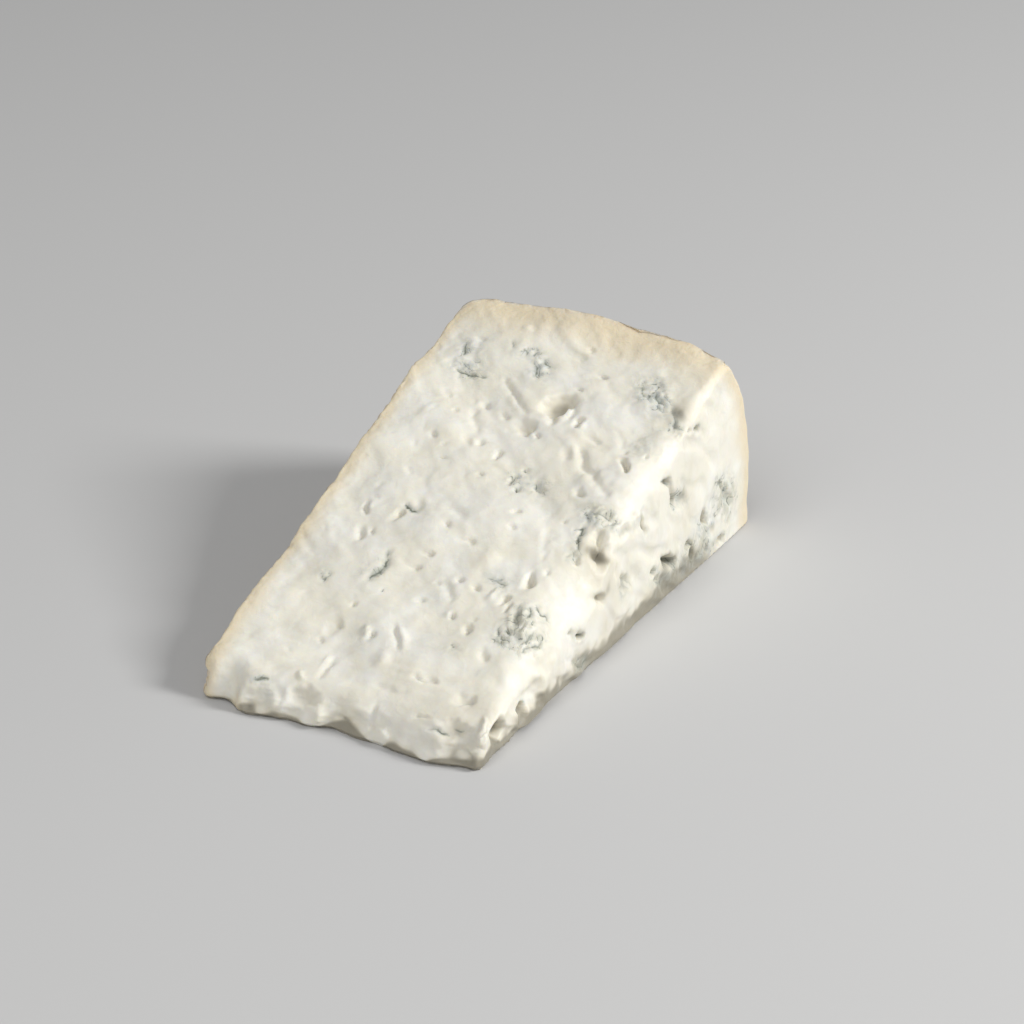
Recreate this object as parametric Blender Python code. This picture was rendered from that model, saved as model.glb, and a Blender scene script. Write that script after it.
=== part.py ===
"""A wedge of soft blue cheese, cut from a halved wheel and lying on one of its two long cut sides.

Metres, +Z up. X runs along the wheel's own axis, from the flat rind (-X) to the cut that halved the
wheel (+X). Y runs along the wheel's radius, from the thin nose (-Y) to the curved rind (+Y). The origin
is on the table, in the middle of the box round the wedge.

The wedge is one piece, so it is one solid: a block of small quads whose points are named by three shares,
across (flat rind to halving cut), along (nose to curved rind) and up (table to upper cut).
"""

import math

import bmesh
import bpy

# Driving dimensions.
WIDTH = 0.080  # half the height of the wheel, along its axis
WHEEL_RADIUS = 0.1523  # nose to curved rind, along the table
NOSE_THICKNESS = 0.0080  # the thin end, which never comes to a knife edge
CUT_SLOPE = math.tan(math.radians(18.9))  # how fast the upper cut climbs towards the rind

# The curved rind.
RIND_BELLY = 0.0009  # how far the wall swells past the wheel's own arc, halfway up
RIND_FLARE = 0.0005  # how far its upper edge flares out, where the wheel is widest
RIND_LEAN = 0.0046  # how far that edge leans in at the halving cut
RIND_LEAN_POWER = 5
RIND_SIDE_POWER = 3
RIND_CROWN_AT = 0.38  # where across the wedge the wheel is at its widest
FLAT_RIND_BULGE = 0.0012

# Radii of the block's edges.
WHEEL_SHOULDER = 0.0085  # between the flat and the curved rind
NOSE_CORNER = 0.0030
NOSE_LIP = 0.0036
CUT_CORNER = 0.0020
EDGE = 0.0012
FOOT_EDGE = 0.0010
FOOT_WEAR = 0.0015  # the foot of the halving cut is rounder towards the nose
FOOT_WEAR_AT = 0.035
FOOT_WEAR_SPREAD = 0.030

# The slumped stretches of the edge between the upper cut and the halving cut: (extra radius, place, spread).
SLUMPS = (
    (0.0130, 0.043, 0.024),
    (0.0065, 0.092, 0.020),
)

# Lobes of the torn nose: (place across, reach forward, half width).
NOSE_LOBES = (
    (0.0030, 0.0018, 0.0035),
    (0.0150, 0.0046, 0.0050),
    (0.0215, 0.0026, 0.0050),
    (0.0305, 0.0032, 0.0055),
    (0.0440, 0.0030, 0.0070),
    (0.0545, 0.0014, 0.0050),
    (0.0660, 0.0052, 0.0120),
    (0.0795, 0.0016, 0.0030),
)
NOSE_FADE_POWER = 6  # the lobes die away behind the nose by this power of the share along

# Long soft waves left in the upper cut by the wire: (wave length along, wave length across, height, phase).
CUT_WAVES = (
    (0.083, 0.094, 0.00080, 0.4),
    (0.044, 0.057, 0.00060, 2.1),
    (0.027, 0.031, 0.00040, 4.4),
)

# Hollows where the paste opened round the mould, on the upper cut: (across, along the slope, radius, depth).
CUT_HOLLOWS = (
    (0.0440, 0.1135, 0.0036, 0.0016),
    (0.0385, 0.1045, 0.0034, 0.0012),
    (0.0705, 0.0980, 0.0030, 0.0012),
    (0.0768, 0.0715, 0.0042, 0.0024),
    (0.0658, 0.0532, 0.0030, 0.0012),
    (0.0710, 0.0006, 0.0040, 0.0008),
)

# Quads along each direction. The cuts crowd towards the edges, where the block is rounded.
CELLS_ACROSS = 28
CELLS_ALONG = 46
CELLS_UP = 14
CROWDING = 0.62
FOOT_ROWS = 0.08  # the share of the rows, from the table up, that the rounded foot gets
RIM_ROWS = 0.25  # and the share, down from the upper cut, that its rounded rim gets

PASTE_COLOUR = (0.80, 0.76, 0.66, 1.0)
PASTE_ROUGHNESS = 0.42


def clear_scene():
    """Removes what the startup scene holds."""
    for obj in list(bpy.data.objects):
        bpy.data.objects.remove(obj)


def crowded_cuts(cells):
    """Shares from 0 to 1 for the cuts through the block, closer together near both ends."""
    cuts = []
    for i in range(cells + 1):
        even = i / cells
        eased = 0.5 - 0.5 * math.cos(math.pi * even)
        cuts.append((1 - CROWDING) * even + CROWDING * eased)
    return cuts


def bell(distance, half_width):
    """A smooth bump, 1 at no distance and nearly 0 past twice the half width."""
    return math.exp(-((distance / half_width) ** 2))


def eased_corner(u, v, radius):
    """Moves a point near a square edge onto a round one: u and v are its depths below the two faces."""
    du = max(radius - u, 0.0)
    dv = max(radius - v, 0.0)
    if du == 0.0 or dv == 0.0:
        return u, v
    pull = max(du, dv) / math.hypot(du, dv)
    return radius - du * pull, radius - dv * pull


def nose_reach(x):
    """How far the torn nose reaches forward at this place across the wedge."""
    return sum(reach * bell(x - place, width) for place, reach, width in NOSE_LOBES)


def cut_height(x, y):
    """Height of the upper cut over the table, y metres behind the nose."""
    height = NOSE_THICKNESS + CUT_SLOPE * y
    for along, across, amplitude, phase in CUT_WAVES:
        lift = math.sin(math.tau * y / along + phase) * math.cos(math.tau * x / across + 2 * phase)
        height += amplitude * lift
    return height


def rind_reach(x, level):
    """Distance from the nose to the curved rind, at this place across and this share of the height."""
    z = level * (NOSE_THICKNESS + CUT_SLOPE * WHEEL_RADIUS)
    on_arc = math.sqrt(WHEEL_RADIUS**2 - z**2)
    off_crown = abs(x / WIDTH - RIND_CROWN_AT) / (1 - RIND_CROWN_AT)
    lean = RIND_LEAN * off_crown**RIND_SIDE_POWER - RIND_FLARE
    return on_arc + RIND_BELLY * math.sin(math.pi * level) - lean * level**RIND_LEAN_POWER


def slump_radius(y, top):
    """Radius of the edge between the upper cut and the halving cut, y metres behind the nose."""
    radius = CUT_CORNER + sum(extra * bell(y - place, spread) for extra, place, spread in SLUMPS)
    return min(radius, 0.55 * top)


def row_level(across, y, up):
    """The share of the height at which a row lies: low rows fit the rounded foot, and top rows the rim."""
    top = cut_height(across * WIDTH, y)
    foot = FOOT_EDGE / top
    rim = EDGE + (slump_radius(y, top) - EDGE) * across + 0.6 * NOSE_LIP * bell(y, NOSE_LIP)
    rim /= top
    if up < FOOT_ROWS:
        return foot * up / FOOT_ROWS
    if up > 1 - RIM_ROWS:
        return 1 - rim * (1 - up) / RIM_ROWS
    between = (up - FOOT_ROWS) / (1 - RIM_ROWS - FOOT_ROWS)
    return foot + between * (1 - rim - foot)


def hollow_depth(x, y):
    """How far the hollows sink the upper cut here. Their places are measured along the slope."""
    slope_length = y * math.hypot(1.0, CUT_SLOPE)
    depth = 0.0
    for across, along, radius, deep in CUT_HOLLOWS:
        depth += deep * bell(math.hypot(x - across, slope_length - along), radius)
    return depth


def wedge_point(across, along, up):
    """The place, from the flat rind's foot at the nose, of the block's point at these three shares."""
    x = across * WIDTH
    y = along * WHEEL_RADIUS
    level = row_level(across, y, up)

    # Upright edges, seen from above.
    left, behind = eased_corner(x, WHEEL_RADIUS - y, WHEEL_SHOULDER)
    x, y = left, WHEEL_RADIUS - behind
    right, behind = eased_corner(WIDTH - x, WHEEL_RADIUS - y, CUT_CORNER)
    x, y = WIDTH - right, WHEEL_RADIUS - behind
    left, ahead = eased_corner(x, y, NOSE_CORNER)
    x, y = left, ahead
    right, ahead = eased_corner(WIDTH - x, y, NOSE_CORNER)
    x, y = WIDTH - right, ahead

    # The rind's wall and the torn nose.
    share = y / WHEEL_RADIUS
    y += share * (rind_reach(x, level) - WHEEL_RADIUS) - (1 - share) ** NOSE_FADE_POWER * nose_reach(x)
    swell = math.sin(math.pi * share) * (0.8 + 0.2 * math.sin(math.pi * level))
    flat_rind = -FLAT_RIND_BULGE * swell
    x += flat_rind * (1 - x / WIDTH)

    # Level edges: each pair is a depth below a side and a depth below the upper cut, or above the table.
    top = cut_height(x, y)
    z = level * top
    ahead = y + nose_reach(x)
    ahead, below = eased_corner(ahead, top - z, NOSE_LIP)
    y, z = ahead - nose_reach(x), top - below
    right, below = eased_corner(WIDTH - x, top - z, slump_radius(y, top))
    x, z = WIDTH - right, top - below
    left, below = eased_corner(x - flat_rind, top - z, EDGE)
    x, z = flat_rind + left, top - below
    ahead, z = eased_corner(y + nose_reach(x), z, 0.6 * NOSE_LIP)
    y = ahead - nose_reach(x)
    wear = FOOT_WEAR * bell(y - FOOT_WEAR_AT, FOOT_WEAR_SPREAD)
    right, z = eased_corner(WIDTH - x, z, FOOT_EDGE + wear)
    x = WIDTH - right
    left, z = eased_corner(x - flat_rind, z, FOOT_EDGE)
    x = flat_rind + left

    # Hollows fade towards the table, so that the foot stays flat.
    z -= hollow_depth(x, y) * level**3
    return x, y, z


def cut_block(name):
    """A block one unit each way, cut into quads on every side."""
    bm = bmesh.new()
    bmesh.ops.create_cube(bm, size=1.0)
    bmesh.ops.translate(bm, verts=bm.verts, vec=(0.5, 0.5, 0.5))
    for axis, cells in enumerate((CELLS_ACROSS, CELLS_ALONG, CELLS_UP)):
        normal = [0.0, 0.0, 0.0]
        normal[axis] = 1.0
        for cut in crowded_cuts(cells)[1:-1]:
            place = [0.0, 0.0, 0.0]
            place[axis] = cut
            everything = bm.verts[:] + bm.edges[:] + bm.faces[:]
            bmesh.ops.bisect_plane(bm, geom=everything, plane_co=place, plane_no=normal)
    mesh = bpy.data.meshes.new(name)
    bm.to_mesh(mesh)
    bm.free()
    return mesh


def shape_wedge(mesh):
    """Moves the block's points onto the wedge, and its box onto the origin."""
    for vertex in mesh.vertices:
        vertex.co = wedge_point(*vertex.co)
    lows = [min(v.co[axis] for v in mesh.vertices) for axis in range(3)]
    highs = [max(v.co[axis] for v in mesh.vertices) for axis in range(3)]
    for vertex in mesh.vertices:
        vertex.co.x -= (lows[0] + highs[0]) / 2
        vertex.co.y -= (lows[1] + highs[1]) / 2
        vertex.co.z -= lows[2]


def paste_material():
    """The cream white of the cut paste."""
    material = bpy.data.materials.new("paste")
    material.use_nodes = True
    shader = material.node_tree.nodes["Principled BSDF"]
    shader.inputs["Base Color"].default_value = PASTE_COLOUR
    shader.inputs["Roughness"].default_value = PASTE_ROUGHNESS
    shader.inputs["Metallic"].default_value = 0.0
    return material


def main():
    clear_scene()
    mesh = cut_block("cheese_wedge")
    shape_wedge(mesh)
    mesh.materials.append(paste_material())
    mesh.shade_smooth()
    wedge = bpy.data.objects.new("cheese_wedge", mesh)
    bpy.context.scene.collection.objects.link(wedge)


main()
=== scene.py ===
"""A wedge of soft blue cheese, cut from a halved wheel, lying on one of its long cuts on a pale studio floor.

Metres, +Z up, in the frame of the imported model: X runs along the wheel's own axis, from the flat rind (-X) to
the cut that halved the wheel (+X), and Y along its radius, from the torn nose (-Y) to the curved rind (+Y).
Forms and reliefs are worked out in millimetres, in the wedge's own corner frame: x from the flat rind, y from
the nose and z from the table. Only the finished mesh is in metres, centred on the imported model's box.
"""

import logging
import math
from dataclasses import dataclass, field
from enum import Enum

import bpy
import numpy as np
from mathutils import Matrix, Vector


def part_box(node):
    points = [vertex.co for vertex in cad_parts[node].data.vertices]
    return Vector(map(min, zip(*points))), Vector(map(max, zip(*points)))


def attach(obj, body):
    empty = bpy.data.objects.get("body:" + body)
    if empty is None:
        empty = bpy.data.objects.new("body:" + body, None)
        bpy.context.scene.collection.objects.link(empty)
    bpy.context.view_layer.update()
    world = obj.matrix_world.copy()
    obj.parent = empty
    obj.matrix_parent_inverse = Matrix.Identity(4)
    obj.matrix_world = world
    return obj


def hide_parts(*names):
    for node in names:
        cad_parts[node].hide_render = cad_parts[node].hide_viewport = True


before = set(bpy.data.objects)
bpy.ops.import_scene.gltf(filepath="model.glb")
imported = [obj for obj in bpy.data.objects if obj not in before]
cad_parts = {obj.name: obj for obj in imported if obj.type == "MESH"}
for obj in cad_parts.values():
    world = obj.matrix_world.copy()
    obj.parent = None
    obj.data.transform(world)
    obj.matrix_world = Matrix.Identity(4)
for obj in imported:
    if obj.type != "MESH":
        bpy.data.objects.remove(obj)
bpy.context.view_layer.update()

NODE = "cheese_wedge"
MM = 0.001
LAYERS = ("mould", "vein", "thread", "marble", "rind", "hollow")
LEAN_TO = np.array([0.94, 0.34])  # the steep side of torn hollows, by the two measures of a cut
ASKEW = np.array([[0.72, 0.69, 0.0], [-0.69, 0.72, 0.0], [0.0, 0.0, 1.0]])  # turns x to the wire's smears
DRAWN = np.array([[1.0, 0.0, 0.0], [0.0, 0.83, 0.56], [0.0, -0.56, 0.83]])  # turns y to the ripples
LOG = logging.getLogger("cheese")
Array = np.ndarray
Socket = bpy.types.NodeSocket
Rows = tuple[tuple[float, ...], ...]


def ease(values: Array, low: float, high: float) -> Array:
    """Smooth step 3t^2 - 2t^3, where t goes from 0 at low to 1 at high, and high may be the lower one."""
    share = np.clip((values - low) / (high - low), 0.0, 1.0)
    return share * share * (3.0 - 2.0 * share)


def bell(distance: Array, half_width: float) -> Array:
    """A smooth bump, 1 at no distance and nearly 0 past twice the half width."""
    return np.exp(-((distance / half_width) ** 2))


def eased_corner(u: Array, v: Array, radius: Array | float) -> tuple[Array, Array]:
    """Moves points near a square edge onto a round one: squares round the edge's centre line become circles.

    Args:
        u: Depth of each point below the first face.
        v: Depth of each point below the second face.
        radius: Radius of the edge, one number or one for each point.

    Returns:
        The two depths after the move.
    """
    du = np.maximum(radius - u, 0.0)
    dv = np.maximum(radius - v, 0.0)
    inside = (du > 0.0) & (dv > 0.0)
    reach = np.where(inside, np.hypot(du, dv), 1.0)
    pull = np.where(inside, np.maximum(du, dv) / reach, 1.0)
    return np.where(inside, radius - du * pull, u), np.where(inside, radius - dv * pull, v)


@dataclass(frozen=True)
class Grain:
    """Repeatable lattice noise: the same seed and place always give the same value."""

    seed: int

    def chance(self, cells: Array, salt: int) -> Array:
        """Three even random numbers for each lattice cell.

        Args:
            cells: Whole numbers, three in the last axis.
            salt: Tells apart draws for the same cell.

        Returns:
            Numbers from 0 to 1, in the same shape.
        """
        parts = cells.astype(np.int64).astype(np.uint64)
        mixed = parts[..., 0] * np.uint64(73856093) ^ parts[..., 1] * np.uint64(19349663)
        mixed ^= parts[..., 2] * np.uint64(83492791) ^ np.uint64(self.seed * 2654435761 + salt * 97531)
        for shift in (33, 29):
            mixed ^= mixed >> np.uint64(shift)
            mixed *= np.uint64(0xFF51AFD7ED558CCD)
        mixed ^= mixed >> np.uint64(32)
        parts = [(mixed >> np.uint64(bits)) & np.uint64(0xFFFF) for bits in (0, 16, 32)]
        return np.stack(parts, axis=-1).astype(float) / 65535.0

    def swell(self, points: Array, size: float | tuple[float, float, float], salt: int) -> Array:
        """Gradient noise: heights from random slopes at a cell's corners, mixed by 6t^5 - 15t^4 + 10t^3.

        Args:
            points: Places, in millimetres.
            size: Size of a lattice cell, one for all axes or one for each.
            salt: Tells apart noises of one seed.

        Returns:
            One value for each point, from about -1 to 1.
        """
        scaled = points / np.asarray(size)
        base = np.floor(scaled)
        inner = scaled - base
        mix = inner * inner * inner * (inner * (inner * 6.0 - 15.0) + 10.0)
        total = np.zeros(len(points))
        for corner in range(8):
            step = np.array([corner & 1, corner >> 1 & 1, corner >> 2 & 1])
            slope = self.chance(base + step, salt) * 2.0 - 1.0
            weight = np.prod(np.where(step == 1, mix, 1.0 - mix), axis=1)
            total += weight * np.einsum("ij,ij->i", slope, inner - step)
        return total * 1.6

    def drift(self, points: Array, size: float, reach: float, salt: int) -> Array:
        """The points, each carried by up to about reach millimetres by three noises of the given size."""
        shift = np.stack([self.swell(points, size, salt + axis) for axis in range(3)], axis=1)
        return points + reach * shift

    def seams(self, points: Array, size: float, salt: int) -> Array:
        """Cellular noise, from one random seed point in each lattice cell.

        Args:
            points: Places, in millimetres.
            size: Size of a lattice cell.
            salt: Tells apart noises of one seed.

        Returns:
            How much further the second seed point is than the nearest, in cells: 0 on a seam.
        """
        scaled = points / size
        base = np.floor(scaled)
        first = np.full(len(points), 9.0)
        second = np.full(len(points), 9.0)
        for corner in range(27):
            cell = base + np.array([corner % 3 - 1, corner // 3 % 3 - 1, corner // 9 - 1])
            away = np.linalg.norm(cell + self.chance(cell, salt) - scaled, axis=1)
            second = np.minimum(second, np.maximum(first, away))
            first = np.minimum(first, away)
        return second - first


@dataclass
class Skin:
    """Points on the plain form, with what the reliefs need to know of each place. Millimetres."""

    place: Array
    normal: Array
    flat_rind: Array
    curved_rind: Array
    top: Array
    reach: Array


@dataclass(frozen=True)
class WedgeForm:
    """The plain form: a block of rounded edges between two long cuts, a halving cut, two rinds and a nose."""

    width: float = 80.0
    radius: float = 152.3
    nose_thickness: float = 8.0
    slope: float = math.tan(math.radians(18.9))
    belly: float = 0.9
    flare: float = 0.5
    lean: float = 4.6
    lean_power: int = 5
    side_power: int = 3
    crown_at: float = 0.38
    bulge: float = 1.2
    shoulder: float = 8.5
    nose_corner: float = 3.0
    lip: float = 8.5
    foot_lip: float = 1.2
    cut_corner: float = 2.0
    edge: float = 1.2
    foot_edge: float = 1.0
    foot_wear: tuple[float, float, float] = (1.5, 35.0, 30.0)
    slumps: Rows = ((13.0, 43.0, 24.0), (6.5, 92.0, 20.0))
    foot_rows: float = 0.08
    rim_rows: float = 0.2
    lip_rows: float = 1.6
    most_round: float = 0.55
    lobes: Rows = (
        (3.0, 1.8, 3.5), (15.0, 4.6, 5.0), (21.5, 2.6, 5.0), (30.5, 3.2, 5.5),
        (44.0, 3.0, 7.0), (54.5, 1.4, 5.0), (66.0, 5.2, 12.0), (79.5, 1.6, 3.0),
    )
    lobe_fade: int = 6
    waves: Rows = ((83.0, 94.0, 0.80, 0.4), (44.0, 57.0, 0.60, 2.1), (27.0, 31.0, 0.40, 4.4))

    def nose_reach(self, x: Array) -> Array:
        """How far the torn nose reaches forward: a sum of bells (place across, reach, half width)."""
        return sum(reach * bell(x - place, width) for place, reach, width in self.lobes)

    def cut_height(self, x: Array, y: Array) -> Array:
        """Height of the upper cut: a ramp and long waves (length along, length across, height, phase).

        Args:
            x: Places across.
            y: Places behind the nose.

        Returns:
            Millimetres over the table.
        """
        height = self.nose_thickness + self.slope * y
        for along, across, amplitude, phase in self.waves:
            lift = np.sin(math.tau * y / along + phase) * np.cos(math.tau * x / across + 2 * phase)
            height = height + amplitude * lift
        return height

    def rind_reach(self, x: Array, level: Array) -> Array:
        """Nose to curved rind: the wheel's arc, plus a belly halfway up, less a lean at the upper edge.

        Args:
            x: Places across.
            level: Shares of the height.

        Returns:
            Millimetres behind the nose.
        """
        arc = np.sqrt(self.radius**2 - (level * (self.nose_thickness + self.slope * self.radius)) ** 2)
        off_crown = np.abs(x / self.width - self.crown_at) / (1 - self.crown_at)
        lean = self.lean * off_crown**self.side_power - self.flare
        return arc + self.belly * np.sin(math.pi * level) - lean * level**self.lean_power

    def slump_radius(self, y: Array, top: Array) -> Array:
        """Radius of the edge between the upper cut and the halving cut, which is largest where it slumped."""
        extra = sum(more * bell(y - place, spread) for more, place, spread in self.slumps)
        return np.minimum(self.cut_corner + extra, self.most_round * top)

    def row_level(self, across: Array, y: Array, up: Array) -> Array:
        """Share of the height at which a row lies: low rows fit the rounded foot, and top rows the rim.

        Args:
            across: Share from the flat rind to the halving cut.
            y: Places behind the nose.
            up: Share of the rows, from the table to the upper cut.

        Returns:
            Shares from 0 at the table to 1 at the upper cut.
        """
        top = self.cut_height(across * self.width, y)
        foot = self.foot_edge / top
        rim = self.edge + (self.slump_radius(y, top) - self.edge) * across + self.lip_rows * bell(y, self.lip)
        rim = np.minimum(rim / top, self.most_round)
        between = (up - self.foot_rows) / (1 - self.rim_rows - self.foot_rows)
        level = foot + between * (1 - rim - foot)
        level = np.where(up < self.foot_rows, foot * up / self.foot_rows, level)
        return np.where(up > 1 - self.rim_rows, 1 - rim * (1 - up) / self.rim_rows, level)

    def skin(self, across: Array, along: Array, up: Array) -> Skin:
        """Places on the form: upright edges are rounded, then rind and nose shaped, then level edges rounded.

        Args:
            across: Share from the flat rind to the halving cut.
            along: Share from the nose to the curved rind.
            up: Share from the table to the upper cut.

        Returns:
            The skin, with no normals yet.
        """
        x = across * self.width
        y = along * self.radius
        level = self.row_level(across, y, up)
        x, behind = eased_corner(x, self.radius - y, self.shoulder)
        right, behind = eased_corner(self.width - x, behind, self.cut_corner)
        x, y = eased_corner(self.width - right, self.radius - behind, self.nose_corner)
        right, y = eased_corner(self.width - x, y, self.nose_corner)
        x = self.width - right

        share = y / self.radius
        fade = (1 - share) ** self.lobe_fade
        y = y + share * (self.rind_reach(x, level) - self.radius) - fade * self.nose_reach(x)
        swell = np.sin(math.pi * share) * (0.8 + 0.2 * np.sin(math.pi * level))
        flat_rind = -self.bulge * swell
        x = x + flat_rind * (1 - x / self.width)

        top = self.cut_height(x, y)
        ahead, below = eased_corner(y + self.nose_reach(x), top * (1 - level), self.lip)
        y = ahead - self.nose_reach(x)
        top = self.cut_height(x, y)
        right, below = eased_corner(self.width - x, below, self.slump_radius(y, top))
        left, below = eased_corner(self.width - right - flat_rind, below, self.edge)
        x = flat_rind + left
        ahead, z = eased_corner(y + self.nose_reach(x), top - below, self.foot_lip)
        y = ahead - self.nose_reach(x)
        wear, place, spread = self.foot_wear
        right, z = eased_corner(self.width - x, z, self.foot_edge + wear * bell(y - place, spread))
        left, z = eased_corner(self.width - right - flat_rind, z, self.foot_edge)
        x = flat_rind + left
        curved_rind = self.rind_reach(x, np.clip(z / top, 0.0, 1.0))
        place = np.stack([x, y, z], axis=1)
        return Skin(place, np.zeros_like(place), flat_rind, curved_rind, top, self.nose_reach(x))


@dataclass(frozen=True)
class BlockLattice:
    """The surface of a block cut into fine quads, with a coarser underside, as shares and face loops."""

    cells_across: int = 140
    cells_along: int = 280
    cells_up: int = 66
    under_step: int = 5
    crowding: float = 0.42

    def shares(self, cells: int) -> Array:
        """Shares from 0 to 1, closer together near both ends: a mix of even steps and a cosine ease."""
        even = np.linspace(0.0, 1.0, cells + 1)
        return (1 - self.crowding) * even + self.crowding * (0.5 - 0.5 * np.cos(math.pi * even))

    def name_of(self, i: Array, j: Array, k: Array) -> Array:
        """One whole number for the lattice point at these three counts."""
        return (i * (self.cells_along + 1) + j) * (self.cells_up + 1) + k

    def side(self, fixed_axis: int, at_end: bool) -> Array:
        """Quads of one side of the block, wound so that they face outwards.

        Args:
            fixed_axis: 0, 1 or 2 for a side square to across, along or up.
            at_end: Whether it is the side at share 1.

        Returns:
            Four lattice point names for each quad.
        """
        cells = (self.cells_across, self.cells_along, self.cells_up)
        first, second = (axis for axis in range(3) if axis != fixed_axis)
        u, v = np.meshgrid(np.arange(cells[first]), np.arange(cells[second]), indexing="ij")
        loops = []
        for du, dv in ((0, 0), (1, 0), (1, 1), (0, 1)):
            counts = [None, None, None]
            counts[fixed_axis] = np.full(u.shape, cells[fixed_axis] if at_end else 0)
            counts[first] = u + du
            counts[second] = v + dv
            loops.append(self.name_of(*counts).ravel())
        quads = np.stack(loops, axis=1)
        outwards = at_end == (fixed_axis != 1)
        return quads if outwards else quads[:, ::-1]

    def underside(self) -> list[list[int]]:
        """Coarse cells of the underside; those on its border take in every fine point of the border.

        Returns:
            Loops of lattice point names, facing down.
        """
        step = self.under_step
        loops = []
        for i in range(0, self.cells_across, step):
            for j in range(0, self.cells_along, step):
                near_i = [(i, j + d) for d in (range(step) if i == 0 else (0,))]
                far_j = [(i + d, j + step) for d in (range(step) if j + step == self.cells_along else (0,))]
                last_i = i + step == self.cells_across
                far_i = [(i + step, j + step - d) for d in (range(step) if last_i else (0,))]
                near_j = [(i + step - d, j) for d in (range(step) if j == 0 else (0,))]
                ring = near_i + far_j + far_i + near_j
                loops.append([self.name_of(a, b, 0) for a, b in ring])
        return loops

    def build(self) -> tuple[Array, list[list[int]]]:
        """The welded block.

        Returns:
            Shares of each point, three in a row, and the faces as loops of point numbers.
        """
        ends = ((0, False), (0, True), (1, False), (1, True), (2, True))
        quads = np.concatenate([self.side(axis, at_end) for axis, at_end in ends])
        under = self.underside()
        under_names = np.array([name for loop in under for name in loop])
        names, index = np.unique(np.concatenate([quads.ravel(), under_names]), return_inverse=True)
        faces = index[: quads.size].reshape(-1, 4).tolist()
        place = quads.size
        for loop in under:
            faces.append(index[place : place + len(loop)].tolist())
            place += len(loop)
        k = names % (self.cells_up + 1)
        j = names // (self.cells_up + 1) % (self.cells_along + 1)
        i = names // ((self.cells_up + 1) * (self.cells_along + 1))
        counts = ((self.cells_across, i), (self.cells_along, j), (self.cells_up, k))
        return np.stack([self.shares(cells)[count] for cells, count in counts], axis=1), faces


def point_normals(places: Array, faces: list[list[int]]) -> Array:
    """Outward direction at each point: the sum of the area vectors of the quads that meet there.

    Args:
        places: Points, three in a row.
        faces: Loops of point numbers; loops of more than four count by their first four.

    Returns:
        Unit vectors.
    """
    quads = np.array([loop[:4] for loop in faces])
    area = np.cross(places[quads[:, 2]] - places[quads[:, 0]], places[quads[:, 3]] - places[quads[:, 1]])
    total = np.zeros_like(places)
    for axis in range(3):
        for corner in range(4):
            total[:, axis] += np.bincount(quads[:, corner], weights=area[:, axis], minlength=len(places))
    return total / np.maximum(np.linalg.norm(total, axis=1, keepdims=True), 1e-12)


class Face(Enum):
    """The sides that carry placed marks, by the axes that measure a place on them."""

    UPPER_CUT = "across, and along the slope"
    HALVING_CUT = "along the table, and up"
    NOSE = "across, and up"


@dataclass(frozen=True)
class OvalMark:
    """A mark with an oval outline, turned on its side of the wedge. Millimetres and degrees."""

    at: tuple[float, float]
    half_size: tuple[float, float]
    turn: float

    @classmethod
    def rows(cls, *rows: tuple[float, ...]) -> "tuple[OvalMark, ...]":
        """Marks from rows: place and half size, two numbers each, then turn and the kind's own fields."""
        return tuple(cls(row[:2], row[2:4], *row[4:]) for row in rows)

    def measure(self, flat: Array) -> tuple[Array, Array]:
        """Where places lie in the mark.

        Args:
            flat: Two measures of each place on the side.

        Returns:
            Each place less the mark's middle, and its distance from there in half sizes, 1 on the outline.
        """
        along = math.radians(self.turn)
        away = flat - np.array(self.at)
        u = (away[:, 0] * math.cos(along) + away[:, 1] * math.sin(along)) / self.half_size[0]
        v = (away[:, 1] * math.cos(along) - away[:, 0] * math.sin(along)) / self.half_size[1]
        return away, np.hypot(u, v)


@dataclass(frozen=True)
class Dent(OvalMark):
    """A hollow in a cut, or a lump if its depth is negative."""

    depth: float
    steep: float = 1.0
    lean: float = 0.9
    rim: float = 0.03

    def inward(self, flat: Array) -> Array:
        """How far the dent sinks each place: (1 - t^2)^(1.6 / steep) in its oval, less a low rim round it.

        As torn paste does, the bowl climbs gently on one side and steeply on the other: its depth grows with
        its lean along LEAN_TO.

        Args:
            flat: Two measures of each place on the cut.

        Returns:
            Millimetres inwards.
        """
        away, t = self.measure(flat)
        tilt = away @ LEAN_TO / math.sqrt(self.half_size[0] * self.half_size[1])
        bowl = np.clip(1.0 - t * t, 0.0, 1.0) ** (1.6 / self.steep)
        bowl *= np.exp(self.lean * np.clip(tilt, -1.0, 1.0))
        return self.depth * (bowl - self.rim * bell(t - 1.15, 0.3))


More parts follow.
